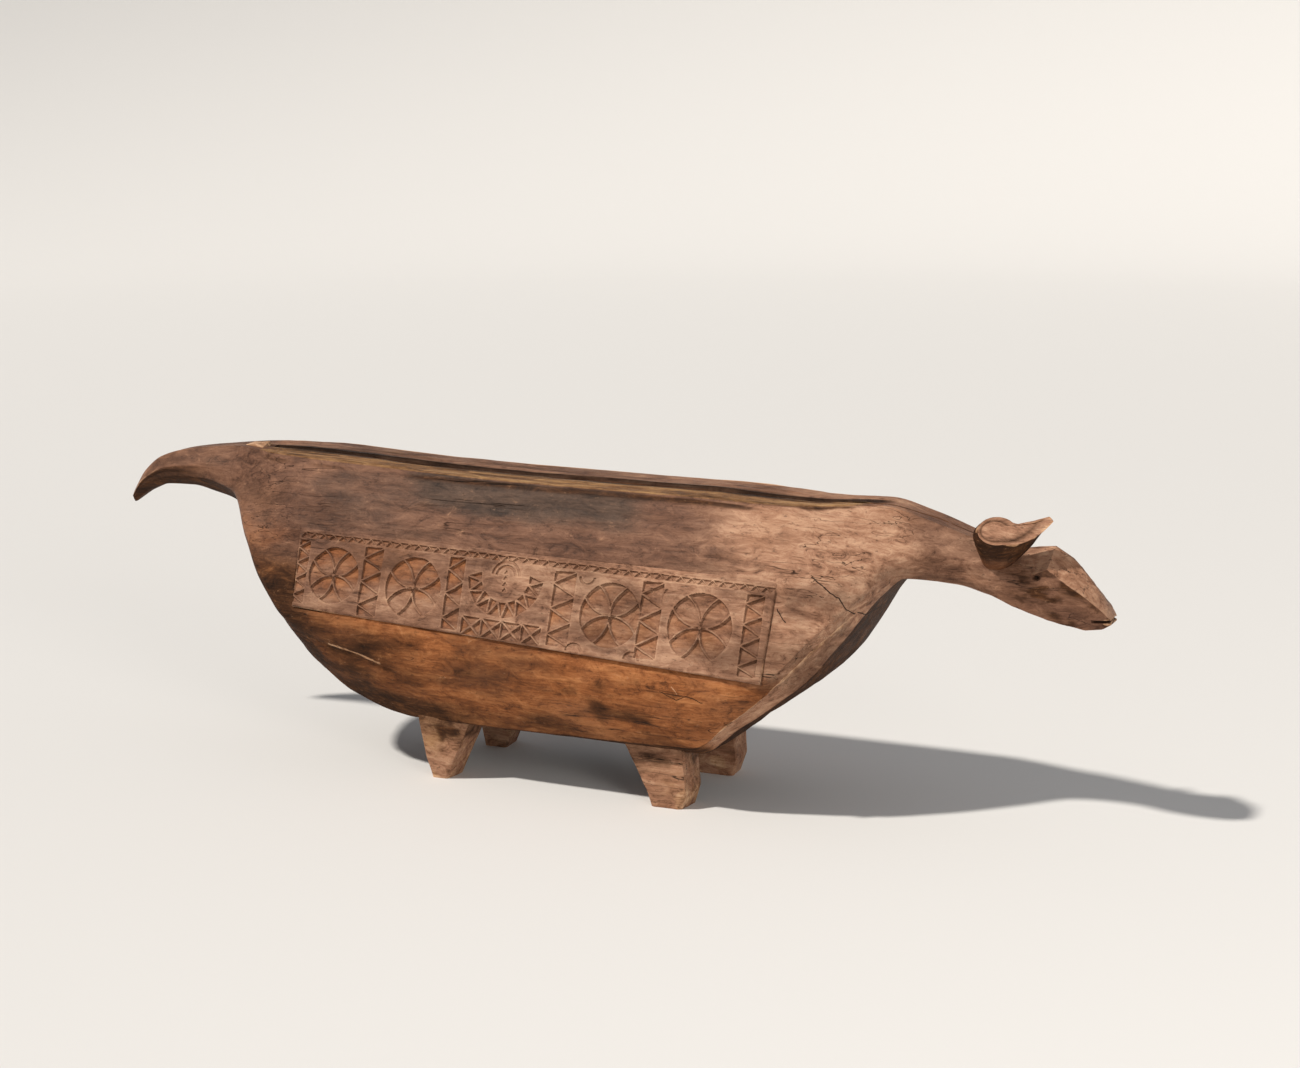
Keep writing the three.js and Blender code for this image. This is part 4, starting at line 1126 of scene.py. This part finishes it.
def crack_and_shade_mask(n):
    """1 in the cracks: fine checks along the grain, the long cracks, and the pieces' own gaps, where the
    slit's edges, eyes and mouth get painted shade.
    """
    checks = n.noise(7.0, (0.16, 4.5, 4.5), 3.0, 0.5, 0.3)
    mask = n.step(n.math("ABSOLUTE", n.math("SUBTRACT", checks, 0.5)), 0.006, 0.0)
    mask = n.math("MULTIPLY", mask, n.step(n.noise(2.6, detail=2.0), 0.5, 0.6))
    for mark in [n.line(corners, width) for corners, width in CRACKS] + [n.value("gap")]:
        mask = n.math("MAXIMUM", mask, mark)
    return mask


def wood_material():
    """Old carved wood, coloured by its grain and by the layers that every piece has."""
    n = Nodes("carved_wood")
    grain = n.noise(9.0, (0.4, 2.2, 2.2), 8.0, 0.66, 0.6)
    streak = n.noise(26.0, (0.28, 1.9, 1.9), 8.0, 0.72, 0.8)
    fibre = n.noise(80.0, (0.09, 2.6, 2.6), 5.0, 0.6)
    mottle = n.noise(5.0, (0.8, 1.6, 1.6), 8.0, 0.65)
    cloud = n.noise(2.4, (0.7, 1.4, 1.4), 6.0, 0.62)
    speck = n.noise(120.0, (0.5, 1.0, 1.0), 4.0, 0.7)
    scuff = n.noise(30.0, (0.55, 1.2, 1.2), 9.0, 0.78, 1.0)
    tone = n.weighted((grain, 0.28), (streak, 0.22), (fibre, 0.1), (scuff, 0.4))
    wood = {name: n.ramp(tone, stops) for name, stops in WOODS.items()}
    ragged = n.math("MULTIPLY", n.math("SUBTRACT", mottle, 0.5), 1.1)
    zone = {name: n.math("ADD", n.value(name), ragged) for name in LAYERS if name not in ("pale", "gap")}
    bare = n.math("ADD", n.value("pale"), n.math("MULTIPLY", ragged, 0.9))
    patina = n.step(zone["patina"], 0.25, 0.75)
    colour = n.mix(patina, wood["lower"], wood["upper"])
    # Each coat shows from one value of its mask to another, up to its share, over the coats before.
    for mask, low, high, share, coat in (
        # Tan coat: tan wood, with painted light on the front and on tops.
        (zone["tan_and_light"], 0.2, 0.8, 1.0, wood["tan_and_light"]),
        (cloud, 0.5, 0.7, 0.4, (0.3, 0.14, 0.072)),
        (cloud, 0.5, 0.34, 0.6, (0.06, 0.025, 0.013)),
        (scuff, 0.44, 0.3, 0.75, (0.035, 0.014, 0.007)),
        (mottle, 0.45, 0.3, 0.5, (0.05, 0.022, 0.012)),
        (zone["bruise"], 0.2, 0.85, 0.85, wood["grey"]),
        (zone["ochre"], 0.3, 0.65, 1.0, wood["ochre"]),
        # Dark coat: dirt and stains, with painted shade on the underside, in hollows and on faces turned
        # down.
        (zone["soot_and_shade"], 0.15, 0.9, 1.0, wood["dark"]),
        (bare, 0.3, 0.6, 1.0, wood["raw"]),
        (scuff, 0.6, 0.72, 0.6, (0.42, 0.23, 0.13)),
        (speck, 0.62, 0.74, 0.28, (0.42, 0.24, 0.14)),
        (speck, 0.42, 0.32, 0.5, (0.03, 0.012, 0.006)),
    ):
        colour = n.mix(n.math("MULTIPLY", n.step(mask, low, high), share), colour, coat)
    for corners, width in SCRATCHES:
        colour = n.mix(n.line(corners, width), colour, wood["raw"])
    # Cracks darkened, with painted shade in the slit, eyes and mouth.
    crack_and_shade = crack_and_shade_mask(n)
    colour = n.mix(n.math("MULTIPLY", crack_and_shade, 0.9), colour, CRACK_AND_SHADE_COLOUR)
    gloss = n.weighted((scuff, 0.35), (patina, -0.1), (n.value("soot_and_shade"), 0.2))
    height = n.weighted(
        (grain, 0.45), (streak, 0.5), (scuff, 0.8), (fibre, 0.25), (speck, 0.15), (crack_and_shade, -0.9),
    )
    bump = n.put("ShaderNodeBump", {"Strength": 0.8, "Distance": 0.004, "Height": height})
    for name, value in (
        ("Base Color", colour), ("Roughness", n.math("ADD", gloss, 0.42, True)),
        ("Specular IOR Level", 0.12), ("Normal", bump.outputs["Normal"]),
    ):
        n.feed(n.shader.inputs[name], value)
    return n.material


# ---------------------------------------------------------------- camera, floor and light
def plain_material(name, colour, rough):
    material = bpy.data.materials.new(name)
    material.use_nodes = True
    shader = material.node_tree.nodes["Principled BSDF"]
    shader.inputs["Base Color"].default_value = (*colour, 1)
    shader.inputs["Roughness"].default_value = rough
    return material


def aimed(thing, place, way):
    thing.location = place
    thing.rotation_euler = Vector(way).to_track_quat("-Z", "Y").to_euler()
    bpy.context.scene.collection.objects.link(thing)


def place_camera():
    turn, rise = math.radians(23.93), math.radians(11.31)
    camera = bpy.data.cameras.new("camera")
    camera.lens, camera.sensor_width = 72.0, 36.0
    way = (-math.sin(turn) * math.cos(rise), math.cos(turn) * math.cos(rise), -math.sin(rise))
    holder = bpy.data.objects.new("camera", camera)
    aimed(holder, (2.755, -5.81, 1.91), way)
    bpy.context.scene.camera = holder


def lamp(name, kind, place, target, power, colour=(1, 1, 1), **settings):
    light = bpy.data.lights.new(name, kind)
    light.energy, light.color = power, colour
    for key, value in settings.items():
        setattr(light, key, value)
    aimed(bpy.data.objects.new(name, light), place, Vector(target) - Vector(place))


def set_stage():
    """A round, pale floor that curves up at its edge, under a soft sky and one softened sun."""
    reach, rise, sides = 13.0, 5.0, 96
    bend = np.radians(np.linspace(0, 80, 17))
    radii = np.concatenate([[4.0, 8.0], reach + rise * np.sin(bend)])
    heights = np.concatenate([[0.0, 0.0], rise * (1 - np.cos(bend))])
    turns = np.linspace(0, 2 * math.pi, sides, endpoint=False)
    grid = np.stack([
        radii[:, None] * np.cos(turns), radii[:, None] * np.sin(turns), heights[:, None] + 0 * turns,
    ], -1)
    faces = loft_faces(len(radii), sides)[:-1]
    mesh = bpy.data.meshes.new("floor")
    mesh.from_pydata(grid.reshape(-1, 3).tolist(), [], [face[::-1] for face in faces])
    mesh.polygons.foreach_set("use_smooth", [True] * len(mesh.polygons))
    mesh.materials.append(plain_material("floor", (0.66, 0.65, 0.635), 0.9))
    floor = bpy.data.objects.new("floor", mesh)
    bpy.context.scene.collection.objects.link(floor)
    world = bpy.data.worlds.new("studio")
    world.use_nodes = True
    world.node_tree.nodes["Background"].inputs["Color"].default_value = (0.93, 0.95, 1.0, 1)
    world.node_tree.nodes["Background"].inputs["Strength"].default_value = 0.3
    bpy.context.scene.world = world
    lamp("key", "SUN", (-4.4, -5.0, 8.3), (0, 0, 0), 3.7, (1, 0.95, 0.88), angle=0.06)
    lamp("front", "AREA", (6.0, -5.2, 3.0), (0.8, 0, 0.5), 190, (1, 0.96, 0.91), size=2.6)
    bpy.context.scene.view_settings.view_transform = "Standard"


# ---------------------------------------------------------------- the whole drum
place_camera()
set_stage()
wood = wood_material()
build_log(wood)
build_panel("near_panel_rear", -1, near_chips(), NEAR_STEP, wood, (0, PANEL_JOIN))
build_panel("near_panel_front", -1, near_chips(), NEAR_STEP, wood, (PANEL_JOIN, 1))
build_panel("far_panel", 1, far_chips(), FAR_STEP, wood, (0, 1))
for number, (leg_name, leg_sizes) in enumerate(LEGS.items()):
    build_leg(f"near_{leg_name}_leg", leg_sizes, -1, wood, 301 + number)
    build_leg(f"far_{leg_name}_leg", leg_sizes, 1, wood, 311 + number)
build_horn(wood)
splinter("horn_stump", STUMP, wood, 401)
splinter("tail_knob", KNOB, wood, 403)
